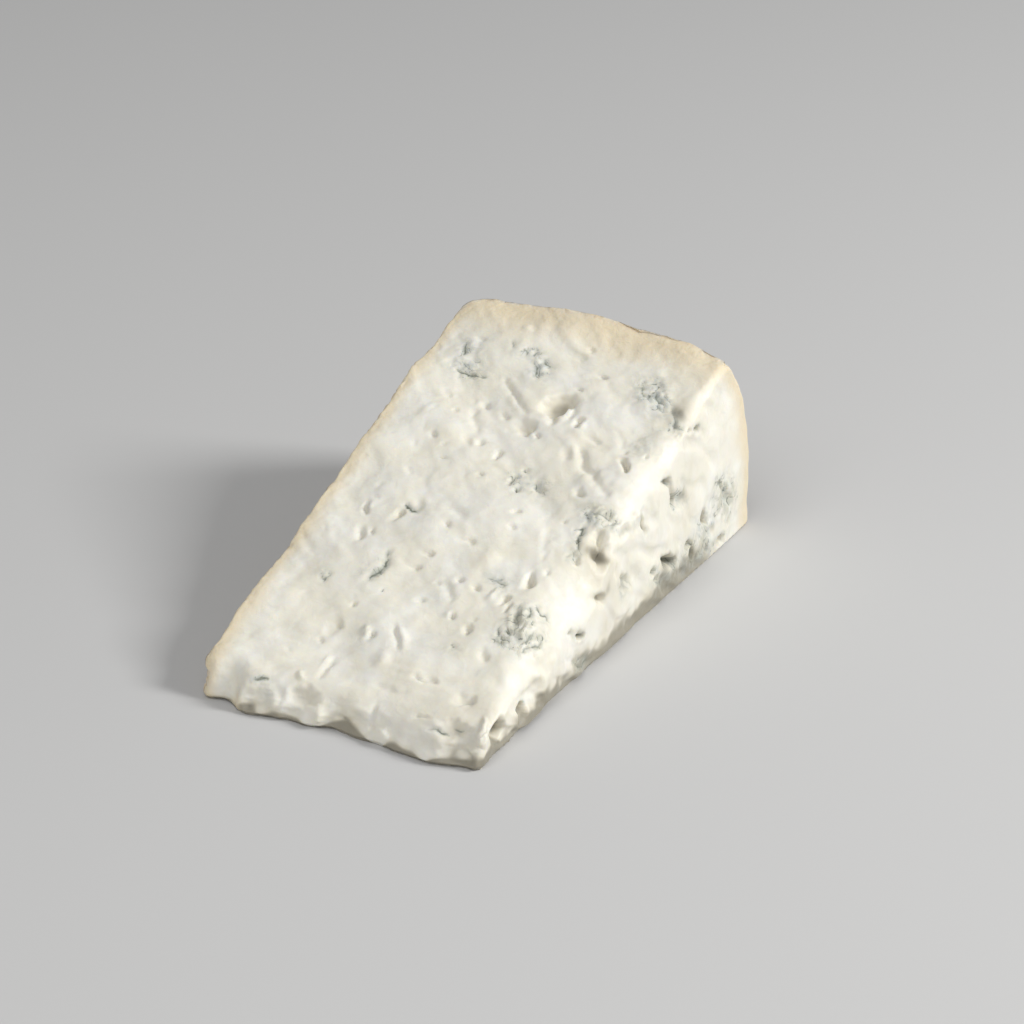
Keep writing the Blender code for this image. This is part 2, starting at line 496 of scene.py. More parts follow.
@dataclass(frozen=True)
class Stroke:
    """A line of short straight runs on a cut: a furrow, a crease or a vein of mould. Millimetres."""

    points: Rows
    half_width: float
    depth: float
    dark: float

    @classmethod
    def rows(cls, *rows: tuple[float, ...]) -> "tuple[Stroke, ...]":
        """Strokes from rows: half width, depth, dark, and then the line's points, two numbers each."""
        return tuple(cls(tuple(zip(row[3::2], row[4::2])), *row[:3]) for row in rows)

    def nearness(self, flat: Array) -> tuple[Array, Array]:
        """1 on the line and nearly 0 two half widths away; the line thins out towards its ends.

        Args:
            flat: Two measures of each place on the cut.

        Returns:
            The largest over the runs of exp(-(distance / half width)^2), and the distance to the nearest run,
            below zero on its right side.
        """
        best = np.zeros(len(flat))
        apart = np.full(len(flat), 99.0)
        runs = len(self.points) - 1
        for count, (start, end) in enumerate(zip(self.points, self.points[1:])):
            a = np.array(start)
            run = np.array(end) - a
            share = np.clip((flat - a) @ run / (run @ run), 0.0, 1.0)
            offset = flat - a - share[:, None] * run
            away = np.linalg.norm(offset, axis=1)
            side = np.where(run[0] * offset[:, 1] - run[1] * offset[:, 0] < 0.0, -1.0, 1.0)
            taper = np.sin(math.pi * (0.12 + 0.76 * (count + share) / runs)) ** 0.6
            best = np.maximum(best, bell(away, self.half_width) * taper)
            apart = np.where(away < np.abs(apart), away * side, apart)
        return best, apart


@dataclass(frozen=True)
class Bloom(OvalMark):
    """A cloudy patch of mould on a cut."""

    strength: float

    def cover(self, flat: Array) -> Array:
        """Share of mould: a bell over the patch's oval."""
        return self.strength * bell(self.measure(flat)[1], 1.0)


@dataclass(frozen=True)
class Markings:
    """Everything placed one by one on one side."""

    face: Face
    dents: tuple[Dent, ...]
    strokes: tuple[Stroke, ...]
    blooms: tuple[Bloom, ...] = ()


UPPER_MARKS = Markings(
    Face.UPPER_CUT,
    Dent.rows(
        (43.6, 114.2, 5, 3.9, 60, 1.8, 2.4, 0.25), (46.4, 116, 2.6, 1.4, -70, 0.7, 1.3),
        (44.8, 109.2, 3.6, 1.8, -68, 0.8, 1.2), (40.4, 113.4, 3.6, 3.2, 0, 0.5, 1, 0.9),
        (47.2, 113.6, 3, 1, -75, -0.55), (38, 104.4, 4.6, 3.4, 15, 1, 1, 0.9),
        (40.1, 104.8, 2.4, 1, 62, 0.9, 1.6), (43.1, 102.6, 1.7, 0.6, -78, 0.9, 1.6),
        (42, 102.8, 1.7, 0.6, -78, -0.35), (51.8, 109.2, 2.7, 1.1, -75, 1.1, 1.6),
        (53.6, 109, 2.2, 1, -75, -0.5), (24.6, 110, 2.2, 1.2, -45, 0.6), (31.6, 107.6, 2.4, 1.4, -45, 0.5),
        (18.1, 105.4, 1.3, 0.9, -50, 0.6), (50.2, 127.6, 2.8, 0.9, -8, 0.45),
        (46.5, 121.6, 1.5, 0.8, -35, 0.6), (42.6, 137, 2.2, 0.9, -45, 0.5),
        (23, 138.5, 2.6, 1.4, -45, -0.45), (26.6, 95.4, 3.2, 1.6, -75, 0.45),
        (28.8, 95.3, 2.6, 0.7, -75, -0.4), (30.3, 96.5, 1.4, 0.8, -60, 0.6),
        (36.4, 93.4, 3.2, 1.1, -66, 0.85, 1.3), (17, 93.8, 2.1, 0.9, -65, 0.6),
        (22, 91.8, 0.9, 0.7, 0, 0.35), (23.4, 87, 1.8, 0.6, 5, 0.35), (44.6, 86.2, 2.7, 0.9, -75, 0.8, 1.3),
        (46.2, 90.3, 0.8, 0.6, 0, 0.7, 1.4), (47.5, 82.6, 1.3, 0.6, -70, 0.8, 1.4),
        (46, 84.6, 2.2, 0.7, -75, -0.5), (52.4, 84.5, 2.6, 1.4, -60, 0.3),
        (36.1, 84.4, 1.2, 0.6, -45, 0.6, 1.4), (54.2, 98, 3.4, 1.9, -65, 0.55),
        (70.6, 98, 4, 1.4, -49, 1.4, 1.5), (64.2, 85, 2.9, 1.8, -45, 0.75), (68, 103, 1.3, 0.7, 0, 0.5),
        (74.6, 102.7, 1.2, 0.7, 0, 0.6), (75, 115.5, 4.5, 2.4, -10, 0.6),
        (22.4, 63.8, 2.8, 1.6, 50, 0.9, 1.2), (12.9, 64.2, 2.4, 1, -62, 0.8, 1.4),
        (13.9, 65.4, 1.2, 0.8, -62, -0.5), (36.8, 63.8, 2.3, 1, -50, 0.6), (44, 60, 3.4, 1.3, -5, 0.5),
        (52, 73.4, 1.8, 0.8, 15, 0.75, 1.2), (53.5, 68, 1.4, 1, 0, 0.6), (64.3, 75.2, 1.1, 0.8, -70, 0.7),
        (16, 55.2, 3.8, 1.8, -60, 0.7), (19, 56.8, 2.5, 0.9, -60, 0.6), (37, 52.6, 2.7, 1, 8, 0.75),
        (35, 48.2, 3.4, 1, 8, 0.5), (51, 56, 5.4, 3.6, 10, -0.6), (65.8, 53.2, 3.1, 1.7, -75, 1.3, 1.5),
        (68.8, 57.3, 1.6, 0.9, -50, 0.6), (48.7, 47.8, 1.7, 1.3, -40, 0.9, 1.3),
        (54, 46.8, 2, 1.3, -40, 0.75), (44, 45.4, 1.5, 0.8, -45, 0.5), (62.2, 44.8, 2.4, 1.3, 62, 1.1, 1.4),
        (59, 46, 3.4, 1.3, 80, -0.7), (65, 42.5, 2, 0.7, -75, 0.8, 1.4), (26.7, 31.8, 1.1, 0.9, 0, 0.6),
        (42, 38.8, 1.4, 0.9, 0, 0.6), (52.7, 36.3, 1.8, 1, -50, 0.85, 1.3),
        (51.2, 36.8, 1.8, 0.8, -50, -0.4), (58.7, 32.5, 3, 1.4, -55, 0.9), (24.8, 24.5, 4.4, 3, -70, 0.6),
        (24, 19.3, 1.9, 0.8, -70, 0.5), (36.2, 23.8, 1.7, 0.8, -80, 0.9, 1.3), (34.3, 25, 3, 1, -80, -0.7),
        (43, 17, 4.5, 3, -60, -0.5), (29, 13, 2.8, 0.8, 88, -0.4), (57.5, 13.8, 2.8, 1.4, -20, 0.5),
        (69.2, 10, 3.6, 2.5, 0, 0.8), (71, 0.8, 6, 3.2, -10, 1.3, 1.1, 0.3),
        (29.2, 0.8, 4.4, 2.8, -12, 1, 1.1, 0.3), (77.6, 3, 4.4, 1.5, -70, -0.8),
        (26.2, 5.5, 2.2, 1, -65, -0.6), (66.5, 25.5, 3.4, 1.5, -50, 0.6),
        (76.8, 71, 5.4, 3.6, -62, 1.6, 1, 0.5, 0), (77.6, 69.4, 2.8, 1.7, -40, 1.1, 1.4, 0.3, 0),
        (75.4, 74, 2.2, 1.2, -70, 1.1, 1.4, 0.3, 0), (75.8, 70.6, 3, 0.8, -62, -0.5, 1, 0.25, 0),
        (73, 65, 2, 1.6, 0, 0.9), (73, 36, 4.6, 0.9, -80, -0.8), (69, 39, 4.4, 1.3, -70, 0.8, 1.2),
    ),
    Stroke.rows(
        (0.8, 0.9, 0, 25.6, 120, 29.6, 116.2, 33.5, 112.5, 37.2, 109),
        (0.9, 0.75, 0, 45.8, 118.8, 48, 116.5, 49.4, 113, 49, 110.5),
        (1.1, 0.85, 0, 22.4, 107.2, 24.5, 104, 27.4, 100.2),
        (1.2, 1.05, 0, 56.8, 102, 58.4, 98.6, 60.5, 95.3, 65.5, 91, 71, 86.8),
        (0.5, 0.35, 0.2, 64, 109, 65.8, 107, 67.4, 104.6), (1.1, 0.6, 0, 33, 71, 36.5, 69.6, 40, 67.4),
        (0.9, 0.45, 0, 62.4, 71, 64, 66, 65.5, 60.5), (1, 0.8, 0, 45.5, 46.7, 47.8, 43.6, 50, 41),
        (0.9, 0.55, 0, 40, 28.4, 42.8, 25.4, 45.4, 21.4), (0.8, -0.7, 0, 41.2, 29.2, 44, 26.2, 46.8, 22),
        (0.8, 0.8, 0, 30.6, 14.5, 30.8, 11, 30.4, 7), (0.6, 1, 0.3, 53.6, 14.2, 55.4, 13, 57.6, 12.5),
        # painted shade: the two dark strokes at the nose lip, from 65 to 74 across, darken small hollows with
        # mould's dark tint
        (0.7, 0.8, 0.8, 65.6, -0.3, 67.4, -0.5, 69.6, -0.2), (0.6, 0.6, 0.65, 70.8, 1.8, 73.2, 1.5),
        (0.5, 0.4, 0.35, 60, 2.4, 63.6, 2), (0.7, 0.3, 0, 46, 9, 50, 8.2, 54, 8.8),
        (0.8, 0.5, 0.85, 8.4, 129.8, 9.2, 128.2, 10.2, 126.4, 10.6, 124.6),
        (0.6, 0.5, 0.9, 11, 119.8, 13, 119.3, 15.5, 119.5, 17.4, 119.2, 20, 119.7),
        (0.5, 0.3, 0.5, 14.6, 119.6, 15.6, 118.4, 16.6, 118),
        (0.5, 0.2, 0.35, 12.4, 122, 13, 120.6, 12.6, 118), (0.6, 0.2, 0.3, 13, 130, 13.4, 127),
        (0.8, 0.6, 0.8, 30.6, 127.6, 31.8, 125.6, 33, 123.8, 34.4, 122.4),
        (0.7, 0.5, 0.7, 32.2, 129.6, 33.4, 128.2, 35, 127),
        (0.6, 0.4, 0.6, 28.8, 132.5, 29.2, 130.8, 29.6, 129.4), (0.6, 0.4, 0.55, 26.6, 132, 27, 129.2),
        (0.6, 0.4, 0.5, 21.8, 132.6, 22.8, 130.8),
        (0.6, 0.4, 0.65, 61.6, 129.2, 62.6, 127, 63.4, 125, 64.6, 123.8, 66.4, 123.4),
        (0.7, 0.5, 0.75, 67.4, 125.4, 68.4, 123.6, 70.4, 122.4),
        (0.5, 0.3, 0.5, 68, 121.6, 70, 120.6, 72.6, 120.2),
        (0.55, 0.4, 0.55, 73, 122.2, 75, 119.2, 76.6, 116.6, 78.2, 117.4),
        (0.6, 0.3, 0.5, 44.2, 88.2, 44.6, 86.2, 45.2, 84.4), (0.5, 0.4, 0.8, 45.8, 90.8, 46.4, 89.8),
        (0.5, 0.4, 0.85, 47.2, 83.6, 47.8, 82), (0.7, 0.4, 0.4, 51, 87, 52.2, 84.6, 54, 83.2),
        (0.4, 0.3, 0.6, 35.2, 85.2, 36.4, 84.2), (0.6, 0.2, 0.3, 22, 87.2, 25, 87.2),
        (0.5, 0.5, 0.6, 70, 80.6, 72.8, 79.8, 76.4, 79.6), (0.5, 0.5, 0.6, 75.4, 77, 76.6, 79, 78, 81),
        (0.5, 0.3, 0.4, 72.6, 78.6, 72.4, 76.4),
        (0.6, 0.7, 0.95, 68.4, 73.6, 70.2, 74.6, 70.7, 71.4, 72.2, 67.6),
        (0.6, 0.4, 0.4, 72, 66.8, 71.4, 64.8, 70.8, 62.8),
        (0.6, 0.8, 1, 22.6, 68.4, 23.6, 67.6, 24.8, 67, 26.8, 66.2),
        (0.7, 0.4, 0.5, 26, 51, 27.2, 49.4, 28.2, 47.4),
        (0.9, 0.7, 0.95, 28.2, 48, 28.2, 45.6, 27.6, 43.2, 27.2, 40.4),
        (0.8, 0.2, 0.35, 23.4, 42.4, 24, 40.6),
        (0.5, 0.5, 0.6, 14.2, 38.8, 14.8, 37.2, 16, 37, 16.4, 38.4, 15.6, 39.4),
        (0.7, 0.4, 0.65, 56, 50.4, 58, 50.8, 60.2, 50.2, 61.2, 50.4),
        (0.5, 0.3, 0.8, 58.4, 52.6, 58.8, 51.4), (0.9, 0.5, 0.5, 67.4, 45.6, 67.6, 43, 69, 40, 70.2, 37.4),
        (0.8, 0.6, 0.9, 70, 44.2, 71.2, 42.6, 71.6, 40.8),
        (0.6, 0.5, 0.7, 71.4, 46.2, 72, 45.4, 74, 45.2, 76, 44.6), (0.8, 0.6, 0.9, 68.6, 35, 69.6, 33.6),
        (0.5, 0.5, 0.7, 66.4, 35.6, 67, 33.6, 67.4, 32.2), (0.6, 0.6, 0.6, 74.6, 38.6, 74.6, 35.4, 74, 32),
        (0.6, 0.5, 0.6, 76.8, 37.6, 76.2, 34, 74.8, 30.6), (0.6, 0.3, 0.4, 67, 30.6, 69.6, 30.4),
        (0.5, 0.3, 0.4, 71.2, 30.2, 74, 29.8), (0.5, 0.5, 0.7, 57.6, 26.8, 58.4, 26, 59.2, 25.8),
        (0.7, 0.6, 0.8, 15.6, 1, 16.8, 2.2, 18.2, 2.2), (0.4, 0.3, 0.6, 31.8, 38.2, 32.4, 37.2),
    ),
    Bloom.rows(
        (9.8, 127, 2.2, 4.5, 10, 0.5), (14.5, 120, 6, 3, 0, 0.55), (13.5, 127, 3.5, 5, 0, 0.25),
        (32.8, 126, 2.8, 5.6, 32, 0.75), (26, 130.5, 5, 2.6, 0, 0.35), (65.5, 126, 6.5, 4.4, -45, 0.7),
        (70.5, 121.5, 4, 2.6, -30, 0.5), (75.5, 116.5, 4.5, 3.6, 0, 0.45), (72, 107, 5, 4.6, -30, 0.3),
        (46, 86, 3.4, 5, 15, 0.55), (53, 85, 3.4, 4, 30, 0.45), (35.6, 84, 3.4, 1.8, 0, 0.25),
        (23.4, 88, 3.2, 3, 0, 0.2), (73.5, 79.5, 6.5, 3.2, -5, 0.7), (71.2, 70, 1.6, 5.5, 15, 0.5),
        (73, 64.5, 2.4, 2.4, 0, 0.35), (24.4, 67.2, 2.8, 1.6, -25, 0.35), (31, 66, 2.6, 6, 0, 0.2),
        (27.8, 45, 1.8, 6, 5, 0.6), (23.6, 42, 1.6, 3, 0, 0.35), (15.3, 38.2, 2.6, 2.4, 0, 0.4),
        (58.6, 51, 4, 2.6, -10, 0.6), (68.6, 39.5, 2.6, 6.5, 10, 0.75), (73.4, 37, 4.4, 7, 0, 0.7),
        (70, 31, 4.5, 2, 0, 0.5), (58, 25.6, 2.6, 2, 0, 0.35), (16.6, 1.6, 2.8, 1.8, 0, 0.55),
        (21, -2, 2.6, 2, 0, 0.3), (63, 48, 2, 4, -40, 0.2),
    ),
)

HALVING_MARKS = Markings(
    Face.HALVING_CUT,
    Dent.rows(
        (116.8, 41.9, 2, 1.2, -25, 1.5, 1.7), (112.6, 43, 1, 0.8, 0, 0.8, 1.4),
        (100, 33.6, 2.1, 1.3, -30, 1.5, 1.7), (102, 31, 2.2, 1.4, -60, 0.7),
        (103.6, 26.8, 3.6, 2.2, -62, 1.3, 1.6), (107.6, 25.8, 5, 3.4, -25, 0.9),
        (109.8, 27.4, 1.1, 0.9, 0, 0.6, 1.4), (86.1, 27.6, 3.8, 1.3, -60, 1.7, 1.6),
        (86.9, 27.2, 2.4, 0.5, -60, -0.7), (83.4, 31, 2, 0.9, -50, -0.6), (81.1, 32.4, 1.7, 1.2, 0, 0.8),
        (75.5, 30.2, 3.8, 2.4, -10, 1), (64.6, 23.4, 6.4, 3.8, -15, -1.2), (61.4, 17.8, 4.6, 1.8, -30, 1.2),
        (68.5, 20.5, 2.5, 1.6, -40, -0.6), (74.8, 16, 5.4, 3.6, -35, 1.3, 1.2),
        (72.2, 17.6, 1.9, 0.8, -60, -0.7), (76.4, 14.6, 3.2, 0.7, -48, -0.6),
        (51.2, 12.7, 1.9, 1.2, -35, 1.5, 1.6), (47.5, 14.4, 1, 0.8, 0, 0.8, 1.4),
        (91.3, 12, 2.1, 1.3, -40, 1.8, 1.7), (93.8, 8.8, 2.6, 1.5, -45, 0.9),
        (101, 10.6, 5, 2.1, -33, 2.8, 1.7), (112.5, 10.2, 3.2, 1.5, -15, 1.2),
        (115.6, 5.8, 2.8, 1.1, -80, 1.4, 1.5), (122.6, 13.8, 3.4, 1.6, -55, 1.7, 1.5),
        (126, 8.4, 3.8, 2.2, -20, 1), (136, 14.5, 5.4, 2.8, -45, 1), (133, 18.4, 1.3, 0.9, 0, 0.7),
        (124.2, 4.2, 1.6, 1.2, 0, 1.2), (132.6, 2.8, 3.2, 1.8, 0, 1.1), (137.6, 6.6, 1.6, 1.1, 0, 0.6),
        (6.6, 7.4, 4.6, 3.8, -30, 1.9, 1.3), (11.5, 11.5, 3.4, 2.2, 0, -0.6),
        (19.8, 5.4, 3.4, 3.2, -20, 1.5, 1.3), (28, 9, 6, 3, -40, 0.9), (39, 9.5, 5, 3, -40, -0.6),
        (56, 9.5, 4, 3, -40, -0.7),
    ),
    Stroke.rows(
        (0.8, 0.4, 0.9, 115.2, 42.5, 116.8, 42, 118.4, 41.2), (0.5, 0.3, 0.6, 111.8, 43.3, 113.2, 42.7),
        (0.7, 0.4, 0.9, 96.5, 35.3, 98.6, 34.7, 100.2, 33.7, 101.4, 32.6),
        (0.9, 0.3, 0.4, 102, 29.5, 102.2, 27, 104, 24.8, 108, 23.2),
        (0.5, 0.3, 0.6, 109, 28.5, 109.6, 27.4, 111.2, 25.4),
        (0.6, 0.3, 0.5, 84.2, 30.4, 85.2, 27.8, 87.5, 25.2),
        (0.7, 0.3, 0.7, 131, 20.6, 132.6, 18.8, 134.8, 17.8), (0.5, 0.2, 0.35, 128.4, 23.6, 130.2, 21.6),
        (0.6, 0.3, 0.35, 134.5, 12.5, 137.5, 11), (0.7, 0.3, 0.55, 121.2, 16, 122.6, 13.6),
        (0.7, 0.5, 0.7, 113.2, 11.4, 115.2, 9.6, 115.8, 6, 117, 3.2),
        (0.8, 0.3, 0.9, 90.4, 12.7, 92.4, 11.2), (0.5, 0.2, 0.4, 92.6, 10.2, 95, 7),
        (1, 0.3, 0.55, 97.6, 12.5, 101, 11.2, 104.6, 8.8),
        (0.6, 0.3, 0.7, 50, 13.7, 51.6, 13.3, 52.6, 11.6), (0.5, 0.2, 0.5, 47, 14.8, 48, 14.2),
        (0.6, 0.3, 0.3, 70.5, 19, 71.4, 15.6, 75, 12.8, 79, 12),
        (0.7, 0.3, 0.4, 77.4, 17.2, 79, 14.8, 79.8, 12.6), (0.6, 0.4, 0.8, 123.4, 5.2, 124.8, 3.6),
        (0.7, 0.3, 0.6, 131.4, 3.2, 134.2, 2.4), (0.5, 0.2, 0.5, 136.8, 7.2, 138, 6.2),
        (0.8, 0.4, 0.6, 48.6, 6, 50, 4, 53, 3.2, 57, 3), (0.6, 0.3, 0.4, 6, 4, 8.5, 2.4),
    ),
    Bloom.rows(
        (116.5, 42, 3.4, 1.9, -20, 0.35), (100, 33.6, 3, 2, -30, 0.3), (107, 26.4, 4.6, 4, -30, 0.7),
        (136, 14.5, 7, 5, -45, 1.15), (131, 20.4, 4, 2.6, -30, 0.35), (122, 9, 6, 6.5, 0, 0.8),
        (109, 7, 8, 5, 0, 0.5), (95, 9, 6, 4.6, 0, 0.45), (86, 28, 2.4, 3.2, 0, 0.3),
        (79, 31.6, 5, 2.4, 0, 0.5), (75.5, 15.6, 4.6, 3.6, -35, 0.5), (51, 12.8, 3.4, 2.6, -30, 0.4),
        (51, 4.4, 6, 3, 0, 0.55), (130, 3, 9, 3, 0, 0.4),
    ),
)


NOSE_MARKS = Markings(
    Face.NOSE,
    Dent.rows(
        (16, 1.8, 4, 2.4, 10, 0.35, 1, 0), (27.2, 2, 4.2, 2.6, 0, 0.5, 1, 0),
        (42.4, 3.2, 6.6, 3.4, 12, 0.4, 1, 0.2), (73.4, 2.8, 5, 3.4, -10, 0.6, 1, 0.3),
        (21.6, 4.4, 2.8, 2.6, 80, -0.4), (33, 3.4, 2.6, 3.8, 80, -0.45), (51.6, 2.4, 4, 2.2, 10, -0.5),
    ),
    Stroke.rows(
        (0.8, -0.45, 0, 34.2, 1.8, 36.6, 4.4, 41.5, 5.6, 46.8, 7),
        (1, 0.5, 0, 36.2, 2.2, 38.6, 3.4, 43, 4.2, 46.6, 5), (0.9, -0.5, 0, 12.4, 2.6, 13.4, 5, 13.8, 7.6),
        (1.1, 0.5, 0, 15.4, 2.2, 16.2, 4.6, 17.4, 6.8), (0.8, -0.4, 0, 24.4, 2.8, 25.2, 5.2, 25.6, 7.8),
        (0.6, 0.7, 0, 47.6, 7.6, 48.4, 5.4, 49, 2.8), (0.8, 0.45, 0, 51, 5.4, 54, 4.6, 57, 4.2),
        (0.8, -0.4, 0, 69.5, 7, 73.6, 6.6, 77.2, 5.2), (1.2, 0.55, 0, 70.4, 4.8, 74, 4.2, 77, 3),
    ),
)


@dataclass
class Coat:
    """What the reliefs leave on the skin: how far each point sinks, and how each place is tinted."""

    inward: Array
    mould: Array
    vein: Array
    thread: Array
    marble: Array
    rind: Array
    # painted shade: how far each place is browned and darkened, in dents, three spots, the foot and the rind's
    # pits
    hollow: Array

    @classmethod
    def bare(cls, count: int) -> "Coat":
        """A coat of no relief and no tint, for this many points."""
        return cls(*np.zeros((1 + len(LAYERS), count)))


@dataclass(frozen=True)
class CutRelief:
    """The two visible cuts: soft curd lumps, wire smears, scattered small pits and the placed marks."""

    form: WedgeForm
    grain: Grain = Grain(seed=11)
    broad: float = 0.42
    torn: float = 0.5
    smear: float = 0.34
    lump: float = 0.13
    fine: float = 0.04
    swell: float = 1.1
    ripple: float = 1.6
    pits: int = 22
    press: float = 1.25
    side_press: float = 1.6
    # dent depth in millimetres that takes the full painted shade of a hollow
    deep: float = 2.6
    growth: float = 1.2
    haze: float = 0.2
    crease: float = 0.45
    pucker: float = 0.5
    # painted shade: three broad browner spots over hollows (across, along, radius, strength)
    darker_spots: Rows = ((72.5, 2.0, 9.0, 0.5), (76.4, 66.0, 4.8, 0.9), (75.0, 113.0, 5.0, 0.85))

    def flat(self, skin: Skin, face: Face) -> Array:
        """Two measures of each point on a side, wandering a little so that no mark has a drawn outline.

        Args:
            skin: The plain form.
            face: The side to measure on.

        Returns:
            Millimetres, two in a row.
        """
        wandered = self.grain.drift(skin.place, 3.6, 0.8, 40)
        wandered = self.grain.drift(wandered, 1.5, 0.45, 50)
        if face is Face.UPPER_CUT:
            return np.stack([wandered[:, 0], wandered[:, 1] * math.hypot(1.0, self.form.slope)], axis=1)
        return wandered[:, 1:] if face is Face.HALVING_CUT else wandered[:, ::2]

    def torn_sheets(self, height: Array, steps: float) -> Array:
        """Turns a soft height into overlapping sheets: h + 0.75 sin(2 pi k h) / (2 pi k), flat then steep."""
        return height + 0.75 * np.sin(math.tau * steps * height) / (math.tau * steps)

    def lumps(self, skin: Skin) -> Array:
        """Broad swells, torn sheets, small lumps, and the wire's smears: askew, but square at the nose.

        Args:
            skin: The plain form.

        Returns:
            Millimetres inwards.
        """
        place = self.grain.drift(skin.place, 12.0, 4.5, 1)
        calm = ease(self.grain.swell(skin.place, 26.0, 5), -0.5, 0.4)
        sheets = self.torn_sheets(self.grain.swell(place, 9.5, 6), 2.2)
        small = self.grain.swell(self.grain.drift(skin.place, 5.0, 1.5, 13), 3.6, 7)
        askew = skin.place @ ASKEW
        across = self.grain.swell(self.grain.drift(skin.place, 9.0, 1.6, 15), (10.0, 2.9, 6.0), 14)
        smears = self.grain.swell(self.grain.drift(askew, 8.0, 1.6, 12), (10.0, 3.1, 6.0), 9)
        smears = across + (smears - across) * ease(skin.place[:, 1], 14.0, 50.0)
        relief = self.broad * self.grain.swell(skin.place, 21.0, 10)
        relief += self.torn * sheets * (0.5 + 0.5 * calm)
        relief += self.smear * self.torn_sheets(smears, 1.6) * (1.0 - 0.45 * calm)
        relief += self.lump * small * (0.35 + 0.65 * calm)
        relief += self.fine * self.grain.swell(skin.place, 1.5, 8)
        return relief

    def edge_swells(self, skin: Skin) -> Array:
        """Fat soft bulges along the slumped edge between the two cuts.

        Args:
            skin: The plain form.

        Returns:
            Millimetres inwards.
        """
        x, y, z = skin.place.T
        below = np.maximum(skin.top - z, 0.0)
        near = bell(np.hypot(np.maximum(self.form.width - x, 0.0), below), 15.0)
        along = ease(y, 2.0, 22.0) * ease(y, 126.0, 104.0)
        rolls = self.grain.swell(self.grain.drift(skin.place, 14.0, 3.0, 31), 13.0, 30)
        return self.swell * near * along * self.torn_sheets(rolls, 1.2)

    def ripples(self, skin: Skin) -> Array:
        """Soft ripples down the halving cut, drawn out from its upper edge towards the rind's foot."""
        soft = self.grain.swell(self.grain.drift(skin.place @ DRAWN, 10.0, 2.0, 70), (20.0, 15.0, 5.5), 73)
        return self.ripple * self.torn_sheets(soft, 1.2) * ease(skin.place[:, 1], 140.0, 118.0)

    def scattered(self, flat: Array) -> Array:
        """Small oval pits strewn over the upper cut.

        Args:
            flat: Two measures of each place on the cut.

        Returns:
            Millimetres inwards.
        """
        draw = np.random.default_rng(self.grain.seed)
        total = np.zeros(len(flat))
        for _ in range(self.pits):
            at = (draw.uniform(4.0, self.form.width - 12.0), draw.uniform(8.0, self.form.radius - 14.0))
            radius = 0.8 + 1.3 * draw.uniform() ** 2
            size = (radius * draw.uniform(1.2, 2.6), radius)
            depth = draw.uniform(0.15, 0.42) * radius
            total += Dent(at, size, draw.uniform(-80.0, 0.0), depth, draw.uniform(0.9, 1.4)).inward(flat)
        return total

    def mark(self, coat: Coat, skin: Skin, share: Array, marks: Markings) -> None:
        """Adds the placed marks of one side to the coat.

        Args:
            coat: Changed in place.
            skin: The plain form.
            share: How far each point belongs to this side, 0 to 1.
            marks: What to add.
        """
        flat = self.flat(skin, marks.face)
        press = self.press if marks.face is Face.UPPER_CUT else self.side_press
        for dent in marks.dents:
            depth = press * dent.inward(flat) * share
            coat.inward += depth
            # painted shade: each dent's hollow is browned and darkened in proportion to its depth
            coat.hollow = np.maximum(coat.hollow, np.clip(depth / self.deep, 0.0, 1.0))
        for stroke in marks.strokes:
            near, apart = stroke.nearness(flat)
            coat.inward += stroke.depth * near * share
            dark = stroke.dark * near * share
            coat.thread = np.where(dark > coat.vein, apart, coat.thread)
            coat.vein = np.maximum(coat.vein, dark)
        for bloom in marks.blooms:
            coat.mould += self.growth * bloom.cover(flat) * share

    def apply(self, coat: Coat, skin: Skin) -> None:
        """Adds this relief and its tints, with painted shade in the dents and in three spots; mouldy paste is
        wrinkled, creased where the marble noise is zero.

        Args:
            coat: Changed in place.
            skin: The plain form.
        """
        x, y, z = skin.place.T
        upper = ease(skin.normal[:, 2], 0.2, 0.7)
        halving = ease(skin.normal[:, 0], 0.2, 0.7) * (1.0 - upper)
        nose = ease(-skin.normal[:, 1], 0.25, 0.75)
        foot = ease(z, 0.0, 2.5)
        off_edge = ease(skin.top - z, 0.5, 7.0)
        steep = halving * off_edge
        coat.inward += self.lumps(skin) * (ease(skin.normal[:, 2], -0.1, 0.9) + 0.85 * steep) * foot
        coat.inward += (self.edge_swells(skin) + self.ripples(skin) * steep) * foot
        coat.inward += self.scattered(self.flat(skin, Face.UPPER_CUT)) * upper
        self.mark(coat, skin, upper, UPPER_MARKS)
        self.mark(coat, skin, halving * foot, HALVING_MARKS)
        self.mark(coat, skin, nose * foot, NOSE_MARKS)
        # painted shade spread in patches over those three hollows
        patches = 1.0 + 0.6 * self.grain.swell(skin.place, 4.0, 28)
        for across, along, radius, dark in self.darker_spots:
            spot_shade = dark * bell(np.hypot(x - across, y - along), radius) * ease(z, 1.0, 6.0) * patches
            coat.hollow = np.maximum(coat.hollow, spot_shade)

        cloud = self.grain.swell(skin.place, 2.6, 21)
        coat.mould *= np.clip(1.0 + 0.9 * cloud + 0.5 * self.grain.swell(skin.place, 1.2, 22), 0.0, 2.0)
        haze = ease(self.grain.swell(self.grain.drift(skin.place, 9.0, 4.0, 26), 13.0, 25), 0.15, 0.9)
        coat.mould += self.haze * haze * (upper + 0.5 * halving)
        folded = self.grain.drift(skin.place, 5.0, 1.6, 60) @ ASKEW
        coat.marble = self.grain.swell(folded, (7.0, 2.3, 3.4), 64)
        coat.marble += 0.3 * self.grain.swell(folded, (2.6, 1.4, 1.6), 65)
        wrinkled = np.clip(coat.mould, 0.0, 1.0) ** 1.5 * (upper + halving)
        coat.inward += wrinkled * (self.crease * bell(coat.marble, 0.09) - self.pucker * np.abs(coat.marble))


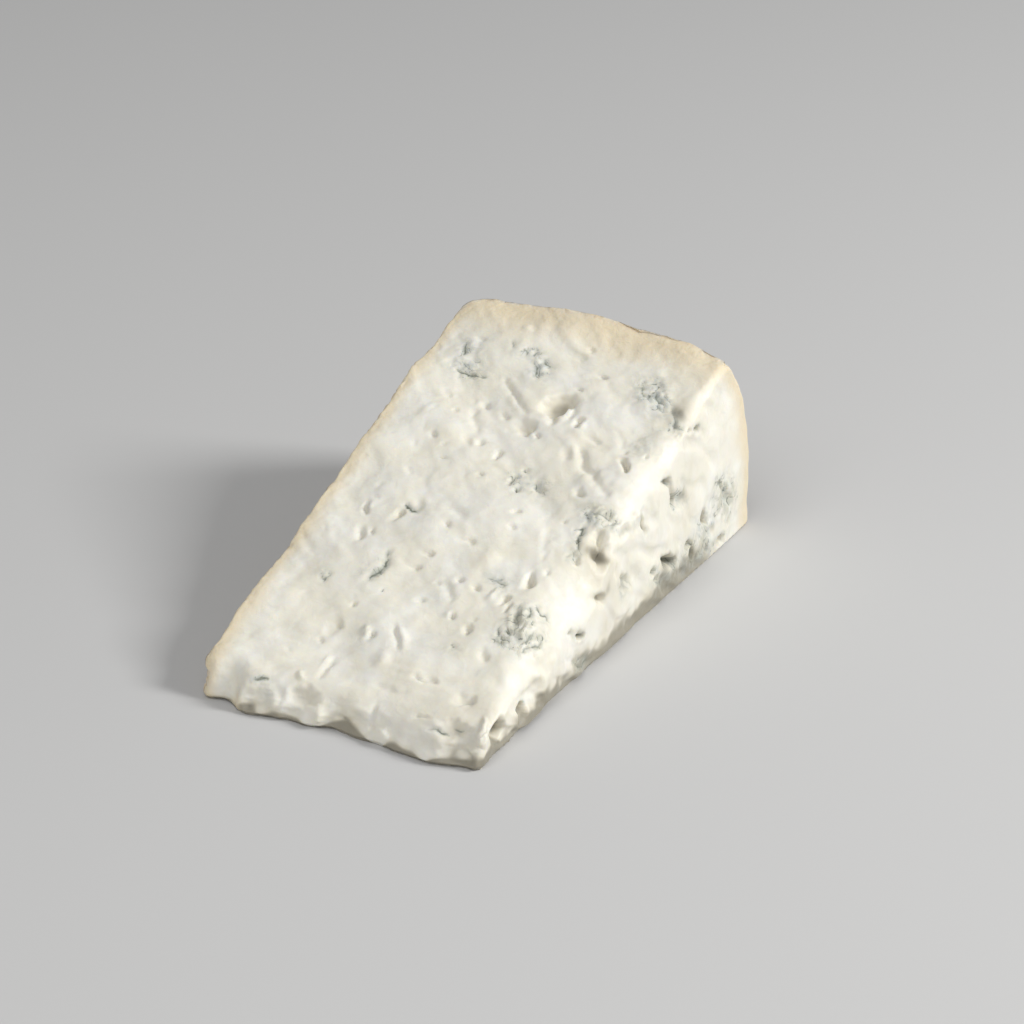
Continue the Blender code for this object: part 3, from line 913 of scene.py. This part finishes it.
@dataclass(frozen=True)
class NoseRelief:
    """The torn nose: soft scallops bitten out of the lip between forward cusps."""

    grain: Grain = Grain(seed=23)
    cusps: tuple[float, ...] = (-3.0, 12.6, 24.4, 34.8, 48.8, 57.0, 81.0)
    bites: tuple[float, ...] = (0.6, 1.8, 2.0, 2.5, 1.0, 0.4)

    def bite(self, x: Array) -> Array:
        """How far the lip is bitten back: between two cusps, the bite times a skewed half sine.

        Args:
            x: Places across.

        Returns:
            Millimetres.
        """
        total = np.zeros(len(x))
        for start, end, depth in zip(self.cusps, self.cusps[1:], self.bites):
            share = np.clip((x - start) / (end - start), 0.0, 1.0)
            total += depth * np.sin(math.pi * share**0.8)
        return total

    def move(self, places: Array, skin: Skin) -> Array:
        """The points with the nose torn: the lip goes back and down, the foot stays.

        Args:
            places: Points after the other reliefs.
            skin: The plain form.

        Returns:
            The moved points.
        """
        x, y, z = skin.place.T
        ahead = y + skin.reach
        near = bell(np.maximum(ahead - 0.3, 0.0), 3.4)
        height = np.clip(z / skin.top, 0.0, 1.0)
        wander = x + 1.1 * self.grain.swell(skin.place, 6.0, 3)
        back = self.bite(wander) * near * (0.3 + 0.7 * ease(height, -0.1, 1.1))
        tear = 0.7 * self.grain.swell(skin.place, 6.0, 1) + 0.2 * self.grain.swell(skin.place, 2.4, 2)
        wall = bell(np.maximum(ahead, 0.0), 6.0) * ease(height, 0.0, 0.5)
        moved = places.copy()
        moved[:, 1] += back + (0.4 + tear) * wall
        moved[:, 2] -= 0.3 * back * ease(height, 0.0, 1.1)
        return moved


@dataclass(frozen=True)
class FootRelief:
    """The foot of the nose and of the halving cut, drawn in under the wedge where the paste crumbled away, and
    darkened there with painted shade.
    """

    form: WedgeForm
    grain: Grain = Grain(seed=29)
    nose_depth: float = 1.2
    nose_height: float = 1.3
    side_depth: float = 0.25
    side_height: float = 1.6
    # painted shade at the foot: the height it reaches on the nose and on the halving cut, how it fades, and
    # places where it reaches higher
    nose_shade_reach: float = 2.6
    side_shade_reach: float = 5.5
    shade_full: float = 1.8
    shade_fall: float = 1.45
    notches: Rows = (
        (102.0, 14.0, 0.4, 3.0), (79.0, 13.0, 0.3, 1.6), (57.0, 9.0, 0.3, 1.8),
        (36.0, 12.0, 0.3, 1.6), (20.0, 3.0, 0.6, 1.6), (7.5, 4.5, 0.5, 1.6),
    )
    nose_shade_spots: Rows = (
        (16.0, 5.0, 0.8), (33.2, 2.6, -2.0), (41.5, 4.6, 3.2), (51.6, 2.8, -2.8), (73.5, 5.0, 3.6),
    )
    side_shade_spots: Rows = ((105.0, 15.0, 7.0), (27.0, 9.0, 2.5), (5.0, 7.0, 2.5))
    under: float = 20.0

    def apply(self, coat: Coat, skin: Skin) -> None:
        """Darkens the foot of the nose and of the halving cut with painted shade, strongest at the table and
        fading upwards.

        Args:
            coat: Changed in place.
            skin: The plain form.
        """
        x, y, z = skin.place.T
        nose = ease(-skin.normal[:, 1], 0.0, 0.4)
        side = ease(skin.normal[:, 0], 0.0, 0.5) * ease(y, 140.0, 118.0)
        patches = 0.6 * self.grain.swell(skin.place, 12.0, 5) + 0.5 * self.grain.swell(skin.place, 4.0, 6)
        nose_reach = self.nose_shade_reach + sum(high * bell(x - at, wide) for at, wide, high in self.nose_shade_spots)
        side_reach = self.side_shade_reach + sum(high * bell(y - at, wide) for at, wide, high in self.side_shade_spots)
        reach = (side_reach + (nose_reach - side_reach) * nose) * np.maximum(1.0 + patches, 0.3)
        # painted shade of the underside: full at the table, fading out at about the reach above it
        low = np.clip(self.shade_full - self.shade_fall * z / np.maximum(reach, 0.2), 0.0, 1.0)
        coat.hollow = np.maximum(coat.hollow, low * np.maximum(nose, side))

    def move(self, places: Array, skin: Skin) -> Array:
        """The points with the foot drawn in level by level, so that the underside stays flat.

        A notch (place along, half width, depth, height) draws it in by depth (1 - z / height)^1.3.

        Args:
            places: Points after the other reliefs.
            skin: The plain form.

        Returns:
            The moved points.
        """
        x, y, z = skin.place.T
        ragged = 1.0 + 0.6 * self.grain.swell(skin.place, 13.0, 1)
        ragged += 0.3 * self.grain.swell(skin.place, 3.0, 2)
        depth = self.side_depth + sum(deep * bell(y - at, wide) for at, wide, deep, _ in self.notches)
        height = self.side_height + sum(high * bell(y - at, wide) for at, wide, _, high in self.notches)
        height = height * (1.0 + 0.4 * self.grain.swell(skin.place * np.array([0.0, 1.0, 0.0]), 14.0, 3))
        inwards = depth * np.maximum(ragged, 0.1) * np.clip(1.0 - z / height, 0.0, 1.0) ** 1.3
        from_side = ease(self.form.width - x, self.under, 0.0)
        ahead = y + skin.reach
        drawn = np.clip(1.0 - z / self.nose_height, 0.0, 1.0) ** 1.2
        drawn *= self.nose_depth * np.maximum(ragged, 0.3)
        moved = places.copy()
        moved[:, 0] -= inwards * from_side * ease(y, -4.0, 6.0)
        moved[:, 1] += drawn * ease(ahead, self.under, 0.0)
        return moved


@dataclass(frozen=True)
class RindRelief:
    """The two rinds and their crumbly rims, and the band of firmer paste beside them on the cuts."""

    grain: Grain = Grain(seed=37)
    skin_lumps: float = 0.55
    crumbs: float = 0.55
    flat_band: float = 7.0
    back_band: float = 17.0
    side_band: float = 10.5

    def apply(self, coat: Coat, skin: Skin) -> None:
        """Adds the rinds' relief, the band's tint and painted shade in the rind's pits to the coat.

        Args:
            coat: Changed in place.
            skin: The plain form.
        """
        x, y, z = skin.place.T
        flat_depth = np.maximum(x - skin.flat_rind, 0.0)
        back_depth = np.maximum(skin.curved_rind - y, 0.0)
        upper = ease(skin.normal[:, 2], 0.25, 0.75)
        to_left, to_back = np.maximum(-skin.normal[:, 0], 0.0), np.maximum(skin.normal[:, 1], 0.0)
        outer = ease(np.hypot(to_left, to_back), 0.3, 0.8)
        wave = 1.0 + 0.3 * self.grain.swell(skin.place, 11.0, 1) + 0.12 * self.grain.swell(skin.place, 4.0, 2)
        back_band = self.side_band + (self.back_band - self.side_band) * upper
        flat_share = np.clip(1.0 - flat_depth / (self.flat_band * wave), 0.0, 1.0)
        back_share = np.clip(1.0 - back_depth / (back_band * wave), 0.0, 1.0)
        coat.rind = np.maximum(np.clip(np.hypot(flat_share, back_share), 0.0, 1.0), outer)

        lumpy = np.abs(self.grain.swell(self.grain.drift(skin.place, 7.0, 2.5, 3), 6.5, 4))
        gap = self.grain.seams(self.grain.drift(skin.place, 4.0, 1.2, 8), 3.4, 5)
        pocked = ease(self.grain.swell(skin.place, 2.6, 10), 0.35, 0.8)
        relief = self.skin_lumps * lumpy + 0.35 * ease(gap, 0.22, 0.0) + 0.5 * pocked
        coat.inward += outer * ease(z, 0.0, 2.0) * relief
        # painted shade in the rind's pocks and seams
        coat.hollow = np.maximum(coat.hollow, outer * (0.45 * pocked + 0.3 * ease(gap, 0.2, 0.0)))
        below = np.maximum(skin.top - z, 0.0)
        flat_rim = bell(np.hypot(flat_depth, below), 1.5)
        back_rim = bell(np.hypot(back_depth, below), 1.2)
        chips = self.grain.swell(skin.place, 6.0, 6) + 0.7 * self.grain.swell(skin.place, 2.4, 7)
        chips = ease(chips, 0.1, 1.0) + 0.2 * self.grain.swell(skin.place, 1.3, 9)
        coat.inward += self.crumbs * np.maximum(chips, 0.0) * np.maximum(flat_rim, 0.4 * back_rim)


@dataclass(frozen=True)
class Tint:
    """A colour as light reflected, red, green and blue from 0 to 1."""

    red: float
    green: float
    blue: float

    def rgba(self) -> tuple[float, float, float, float]:
        """The colour with full cover."""
        return (self.red, self.green, self.blue, 1.0)


class Bench:
    """A short hand for building a node tree."""

    def __init__(self, material: bpy.types.Material) -> None:
        """Empties the material's tree and keeps it.

        Args:
            material: The material to build.
        """
        material.use_nodes = True
        self.tree = material.node_tree
        self.tree.nodes.clear()

    def node(self, kind: str, **inputs: object) -> bpy.types.Node:
        """Adds a node.

        Args:
            kind: The node's class name, without its ShaderNode prefix.
            **inputs: Settings of the node in lower case, or its inputs by name, spaces as underscores. A
                socket is linked, and anything else is set.

        Returns:
            The node.
        """
        made = self.tree.nodes.new("ShaderNode" + kind)
        for name, value in inputs.items():
            if name[0].islower():
                setattr(made, name, value)
            else:
                self.feed(made.inputs[name.replace("_", " ")], value)
        return made

    def layer(self, name: str) -> Socket:
        """The value of a point layer of the mesh."""
        return self.node("Attribute", attribute_name=name, attribute_type="GEOMETRY").outputs["Fac"]

    def feed(self, socket: Socket, value: object) -> None:
        """Links a socket to a node's input, or sets anything else as its value.

        Args:
            socket: The input.
            value: An output socket, a tint, or a plain value.
        """
        if isinstance(value, Socket):
            self.tree.links.new(value, socket)
        else:
            socket.default_value = value.rgba() if isinstance(value, Tint) else value

    def sum(self, operation: str, *values: object) -> Socket:
        """A Math node, clamped to 0 and 1 where its name ends in a full stop.

        Args:
            operation: The node's operation.
            *values: Its inputs.

        Returns:
            The result.
        """
        made = self.node("Math", operation=operation.rstrip("."), use_clamp=operation.endswith("."))
        for socket, value in zip(made.inputs, values):
            self.feed(socket, value)
        return made.outputs[0]

    def times(self, first: object, second: object) -> Socket:
        """The product of two values."""
        return self.sum("MULTIPLY", first, second)

    def scaled(self, value: object, factor: object, shift: object) -> Socket:
        """A value times a factor, plus a shift."""
        return self.sum("MULTIPLY_ADD", value, factor, shift)

    def band(self, value: Socket, low: float, high: float) -> Socket:
        """Smooth step of a value from 0 at low to 1 at high."""
        ends = {"From_Min": low, "From_Max": high}
        return self.node("MapRange", interpolation_type="SMOOTHSTEP", Value=value, **ends).outputs["Result"]

    def blend(self, share: object, first: object, second: object) -> Socket:
        """Mixes two colours by a share; a Mix node keeps its colours in inputs 6 and 7 and output 2.

        Args:
            share: How much of the second colour, 0 to 1.
            first: A colour.
            second: Another.

        Returns:
            The mixed colour.
        """
        made = self.node("Mix", data_type="RGBA")
        for place, value in ((0, share), (6, first), (7, second)):
            self.feed(made.inputs[place], value)
        return made.outputs[2]

    def noise(self, where: Socket, per_metre: float, detail: float, warp: float = 0.0) -> Socket:
        """Noise of this many cells to a metre, from 0 to 1."""
        made = self.node("TexNoise", Vector=where, Scale=per_metre, Detail=detail, Distortion=warp)
        return made.outputs["Fac"]


@dataclass(frozen=True)
class PasteFinish:
    """Moist cream paste with grey-green mould and a beige rind."""

    cream: Tint = Tint(0.85, 0.82, 0.71)
    white: Tint = Tint(0.875, 0.86, 0.79)
    shaded: Tint = Tint(0.76, 0.73, 0.63)
    band: Tint = Tint(0.775, 0.67, 0.48)
    rind: Tint = Tint(0.69, 0.57, 0.41)
    powder: Tint = Tint(0.79, 0.71, 0.58)
    # rubbed patches of the rind, and painted shade in its pits
    scuff_and_pit_shade: Tint = Tint(0.53, 0.41, 0.275)
    haze: Tint = Tint(0.55, 0.55, 0.465)
    blue: Tint = Tint(0.52, 0.55, 0.52)
    smoke: Tint = Tint(0.30, 0.33, 0.27)
    thread: Tint = Tint(0.18, 0.195, 0.155)
    # painted shade: a browner colour for hollows and the foot, and a near black for the deepest of them
    hollow: Tint = Tint(0.63, 0.575, 0.445)
    deep: Tint = Tint(0.205, 0.19, 0.15)
    roughness: float = 0.54
    ior: float = 1.42
    glow: float = 0.35
    glow_tint: tuple[float, float, float] = (1.0, 0.8, 0.5)
    glow_reach: float = 0.0015
    wet: float = 0.06
    wet_roughness: float = 0.25
    fine_height: float = 0.00006
    coarse_height: float = 0.00028
    grit_height: float = 0.0005
    wrinkle_height: float = 0.0006

    def paste(self, bench: Bench, where: Socket, hollow: Socket) -> Socket:
        """Cream paste in paler and greyer patches, with painted shade: browner in its hollows and at the foot,
        near black in the deepest.

        Args:
            bench: The material's bench.
            where: Places on the mesh.
            hollow: How much painted shade each place takes, from its hollows and the foot.

        Returns:
            The colour.
        """
        patches = bench.noise(where, 70.0, 3.0, 0.8)
        colour = bench.blend(bench.band(patches, 0.36, 0.66), self.cream, self.white)
        darker_spots = bench.noise(where, 130.0, 3.0, 1.4)
        colour = bench.blend(bench.times(bench.band(darker_spots, 0.5, 0.72), 0.4), colour, self.shaded)
        # painted shade: browner with the hollow layer, near black where it runs highest
        colour = bench.blend(bench.times(hollow, 0.8), colour, self.hollow)
        return bench.blend(bench.times(bench.band(hollow, 0.5, 1.1), 0.8), colour, self.deep)

    def crusted(self, bench: Bench, where: Socket, colour: Socket, rind: Socket, hollow: Socket) -> Socket:
        """The colour with the firmer band, and past it the rind: powdery and rubbed in patches, darker in its
        pits with painted shade.

        Args:
            bench: The material's bench.
            where: Places on the mesh.
            colour: The paste's colour.
            rind: How near the rind each place is, 1 on it.
            hollow: How much painted shade each place takes.

        Returns:
            The new colour.
        """
        edge = bench.sum("ADD", rind, bench.scaled(bench.noise(where, 160.0, 4.0, 0.5), 0.12, -0.06))
        colour = bench.blend(bench.times(bench.band(edge, 0.04, 0.85), 0.92), colour, self.band)
        powder = bench.band(bench.noise(where, 95.0, 4.0, 1.0), 0.4, 0.62)
        crust = bench.blend(powder, self.rind, self.powder)
        crust = bench.blend(bench.band(bench.noise(where, 260.0, 4.0, 0.6), 0.56, 0.72), crust, self.scuff_and_pit_shade)
        # painted shade: the rind is darker in its pits
        crust = bench.blend(bench.times(bench.band(hollow, 0.1, 0.5), 0.7), crust, self.scuff_and_pit_shade)
        return bench.blend(bench.band(edge, 0.86, 1.04), colour, crust)

    def moulded(self, bench: Bench, where: Socket, colour: Socket, tints: tuple[Socket, ...]) -> Socket:
        """The colour with clouds of mould, soft veins, and dark hairs, creases and specks in them.

        Args:
            bench: The material's bench.
            where: Places on the mesh.
            colour: The colour under the mould.
            tints: The layers mould, vein, thread and marble.

        Returns:
            The new colour.
        """
        mould, vein, thread, marble = tints
        mottle = bench.noise(where, 420.0, 4.0, 0.8)
        cover = bench.sum("MULTIPLY.", mould, bench.scaled(bench.band(mottle, 0.34, 0.62), 0.8, 0.4))
        bloom = bench.blend(bench.band(bench.noise(where, 90.0, 2.0), 0.42, 0.6), self.haze, self.blue)
        colour = bench.blend(bench.times(cover, 0.8), colour, bloom)

        wobble = bench.scaled(bench.noise(where, 480.0, 3.0, 0.5), 0.9, -0.45)
        apart = bench.sum("ABSOLUTE", bench.sum("ADD", thread, wobble))
        hairs = bench.times(bench.band(apart, 0.34, 0.1), bench.band(vein, 0.15, 0.8))
        soft = bench.times(bench.band(vein, 0.05, 0.9), bench.scaled(mottle, 0.9, 0.25))
        colour = bench.blend(bench.sum("MULTIPLY.", soft, 0.75), colour, self.smoke)
        creases = bench.band(bench.sum("ABSOLUTE", marble), 0.06, 0.015)
        creases = bench.times(creases, bench.times(bench.band(cover, 0.3, 0.8), 0.8))
        specks = bench.band(bench.noise(where, 520.0, 3.0, 0.6), 0.63, 0.72)
        specks = bench.times(specks, bench.band(cover, 0.3, 0.7))
        dark = bench.sum("MAXIMUM", hairs, bench.sum("MAXIMUM", creases, specks))
        dark = bench.sum("MULTIPLY.", dark, bench.scaled(bench.band(mottle, 0.3, 0.6), 0.5, 0.4))
        return bench.blend(dark, colour, self.thread)

    def bump(self, bench: Bench, where: Socket, mould: Socket, rind: Socket) -> Socket:
        """Fine and coarse grain, more of it on the rind, and wrinkles in the mould.

        Args:
            bench: The material's bench.
            where: Places on the mesh.
            mould: How mouldy each place is.
            rind: How near the rind each place is.

        Returns:
            The bumped normal.
        """
        fine = bench.times(bench.noise(where, 900.0, 3.0, 0.3), self.fine_height)
        coarse = bench.scaled(bench.noise(where, 300.0, 3.0, 0.8), self.coarse_height, fine)
        gritty = bench.times(bench.noise(where, 620.0, 6.0, 0.6), bench.times(rind, self.grit_height))
        wrinkles = bench.times(bench.noise(where, 520.0, 4.0, 1.0), bench.times(mould, self.wrinkle_height))
        height = bench.sum("ADD", bench.sum("ADD", coarse, gritty), wrinkles)
        return bench.node("Bump", Height=height, Strength=0.6, Distance=1.0).outputs["Normal"]

    def make(self) -> bpy.types.Material:
        """Builds the material.

        Returns:
            A material whose colour follows the mesh's LAYERS.
        """
        material = bpy.data.materials.new("cheese_paste")
        bench = Bench(material)
        where = bench.node("TexCoord").outputs["Object"]
        mould, vein, thread, marble, rind, hollow = (bench.layer(name) for name in LAYERS)
        colour = self.crusted(bench, where, self.paste(bench, where, hollow), rind, hollow)
        colour = self.moulded(bench, where, colour, (mould, vein, thread, marble))
        rough = bench.scaled(bench.noise(where, 160.0, 3.0), 0.30, self.roughness - 0.15)
        rough = bench.sum("ADD.", rough, bench.times(bench.band(rind, 0.6, 1.0), 0.22))
        shader = bench.node(
            "BsdfPrincipled",
            Base_Color=colour,
            Roughness=rough,
            Normal=self.bump(bench, where, mould, rind),
            IOR=self.ior,
            Subsurface_Weight=self.glow,
            Subsurface_Radius=self.glow_tint,
            Subsurface_Scale=self.glow_reach,
            Coat_Weight=self.wet,
            Coat_Roughness=self.wet_roughness,
        )
        bench.node("OutputMaterial", Surface=shader.outputs["BSDF"])
        return material


@dataclass
class CheeseWedge:
    """The wedge: its form, its reliefs and its finish."""

    form: WedgeForm = field(default_factory=WedgeForm)
    lattice: BlockLattice = field(default_factory=BlockLattice)
    finish: PasteFinish = field(default_factory=PasteFinish)
    box_gap: float = 0.02
    inset: float = 0.15

    def shape(self) -> tuple[Array, Array, list[list[int]], Coat]:
        """Works out the carved surface.

        Returns:
            Plain and carved points in millimetres in the corner frame, faces as loops, and the coat.
        """
        shares, faces = self.lattice.build()
        skin = self.form.skin(*shares.T)
        skin.normal = point_normals(skin.place, faces)
        coat = Coat.bare(len(shares))
        CutRelief(self.form).apply(coat, skin)
        RindRelief().apply(coat, skin)
        foot = FootRelief(self.form)
        foot.apply(coat, skin)
        rests = (skin.normal[:, 2] < -0.9) | (skin.place[:, 2] < 0.02)
        inward = np.where(rests, 0.0, coat.inward + self.inset)
        places = skin.place - skin.normal * inward[:, None]
        places = NoseRelief().move(places, skin)
        return skin.place, foot.move(places, skin), faces, coat

    def fit(self, plain: Array, places: Array) -> Array:
        """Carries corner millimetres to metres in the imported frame, and keeps every point inside the CAD box.

        Args:
            plain: Points of the plain form, whose box is centred on the CAD box.
            places: Points to carry.

        Returns:
            Points in metres.
        """
        low, high = (np.array(corner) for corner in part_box(NODE))
        centre = (plain.min(axis=0) + plain.max(axis=0)) / 2
        centre[2] = 0.0
        shift = np.array([(low[0] + high[0]) / 2, (low[1] + high[1]) / 2, low[2]])
        metres = (places - centre) * MM + shift
        gap = np.array([1.0, 1.0, 0.0]) * self.box_gap * MM
        return np.clip(metres, low + gap, high - self.box_gap * MM)

    def build(self) -> bpy.types.Object:
        """Makes the piece, dresses it and sets it in the frame.

        Returns:
            The finished piece.
        """
        plain, places, faces, coat = self.shape()
        mesh = bpy.data.meshes.new("cheese")
        mesh.from_pydata(self.fit(plain, places).tolist(), [], faces)
        mesh.shade_smooth()
        for name in LAYERS:
            layer = mesh.attributes.new(name, "FLOAT", "POINT")
            layer.data.foreach_set("value", getattr(coat, name).astype(np.float32))
        mesh.materials.append(self.finish.make())
        piece = bpy.data.objects.new("cheese", mesh)
        bpy.context.scene.collection.objects.link(piece)
        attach(piece, "root")
        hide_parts(NODE)
        LOG.info("%s: %d points, %d faces", piece.name, len(mesh.vertices), len(mesh.polygons))
        return piece


def outlook(azimuth: float, elevation: float) -> tuple[Array, tuple[float, float, float]]:
    """Where a lamp or the camera stands, and how it turns to look back.

    Args:
        azimuth: Degrees from -Y towards +X.
        elevation: Degrees over the floor.

    Returns:
        The direction from the wedge, and the turns about x, y and z in radians.
    """
    turn, tilt = math.radians(azimuth), math.radians(elevation)
    away = np.array([math.sin(turn) * math.cos(tilt), -math.cos(turn) * math.cos(tilt), math.sin(tilt)])
    return away, (math.pi / 2 - tilt, 0.0, turn)


@dataclass(frozen=True)
class Lamp:
    """A soft square studio light that looks at the wedge."""

    name: str
    azimuth: float
    elevation: float
    distance: float
    size: float
    power: float
    colour: tuple[float, float, float]

    def place(self, aim: Array) -> bpy.types.Object:
        """Adds the light.

        Args:
            aim: The point it looks at.

        Returns:
            The light object.
        """
        away, turns = outlook(self.azimuth, self.elevation)
        data = bpy.data.lights.new(self.name, "AREA")
        data.shape = "SQUARE"
        data.size = self.size
        data.energy = self.power
        data.color = self.colour
        lamp = bpy.data.objects.new(self.name, data)
        lamp.location = aim + away * self.distance
        lamp.rotation_euler = turns
        bpy.context.scene.collection.objects.link(lamp)
        return lamp


@dataclass(frozen=True)
class Studio:
    """Pale floor, soft lights and the camera."""

    floor_half: float = 12.0
    floor_tint: Tint = Tint(0.58, 0.58, 0.58)
    floor_roughness: float = 0.85
    sky: float = 0.24
    lamps: tuple[Lamp, ...] = (
        Lamp("key", 110.0, 33.0, 1.5, 0.45, 17.8, (1.0, 0.996, 0.983)),
        Lamp("fill", 8.0, 52.0, 1.8, 1.2, 13.5, (1.0, 0.995, 0.985)),
    )
    azimuth: float = 27.79
    elevation: float = 25.87
    distance: float = 1.002
    aim_offset: tuple[float, float, float] = (0.0054, 0.0071, -0.0028)
    lens: float = 137.4
    sensor: float = 36.0

    def floor(self) -> None:
        """Adds the floor, one pale quad under the wedge."""
        reach = self.floor_half
        corners = [(-reach, -reach, 0.0), (reach, -reach, 0.0), (reach, reach, 0.0), (-reach, reach, 0.0)]
        mesh = bpy.data.meshes.new("floor")
        mesh.from_pydata(corners, [], [(0, 1, 2, 3)])
        material = bpy.data.materials.new("studio_floor")
        bench = Bench(material)
        shader = bench.node("BsdfPrincipled", Base_Color=self.floor_tint, Roughness=self.floor_roughness)
        bench.node("OutputMaterial", Surface=shader.outputs["BSDF"])
        mesh.materials.append(material)
        ground = bpy.data.objects.new("floor", mesh)
        bpy.context.scene.collection.objects.link(ground)

    def light(self, aim: Array) -> None:
        """Adds the lamps and an even white sky.

        Args:
            aim: The point the lamps look at.
        """
        for lamp in self.lamps:
            lamp.place(aim)
        world = bpy.data.worlds.new("studio")
        world.use_nodes = True
        background = world.node_tree.nodes["Background"]
        background.inputs["Color"].default_value = (1.0, 1.0, 1.0, 1.0)
        background.inputs["Strength"].default_value = self.sky
        bpy.context.scene.world = world
        bpy.context.scene.view_settings.view_transform = "Standard"

    def camera(self, centre: Array) -> None:
        """Adds the camera, level with no roll, and makes it the scene's own.

        Args:
            centre: Middle of the wedge's box.
        """
        away, turns = outlook(self.azimuth, self.elevation)
        data = bpy.data.cameras.new("camera")
        data.lens = self.lens
        data.sensor_width = self.sensor
        data.clip_end = 100.0
        eye = bpy.data.objects.new("camera", data)
        eye.location = centre + np.array(self.aim_offset) + away * self.distance
        eye.rotation_euler = turns
        bpy.context.scene.collection.objects.link(eye)
        bpy.context.scene.camera = eye

    def build(self) -> None:
        """Adds everything round the wedge."""
        low, high = (np.array(corner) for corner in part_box(NODE))
        centre = (low + high) / 2
        self.floor()
        self.light(centre)
        self.camera(centre)


def main() -> None:
    """Builds the studio and the wedge, and reports the piece."""
    logging.basicConfig(level=logging.INFO, format="%(name)s %(message)s")
    Studio().build()
    CheeseWedge().build()


if __name__ == "__main__":
    main()
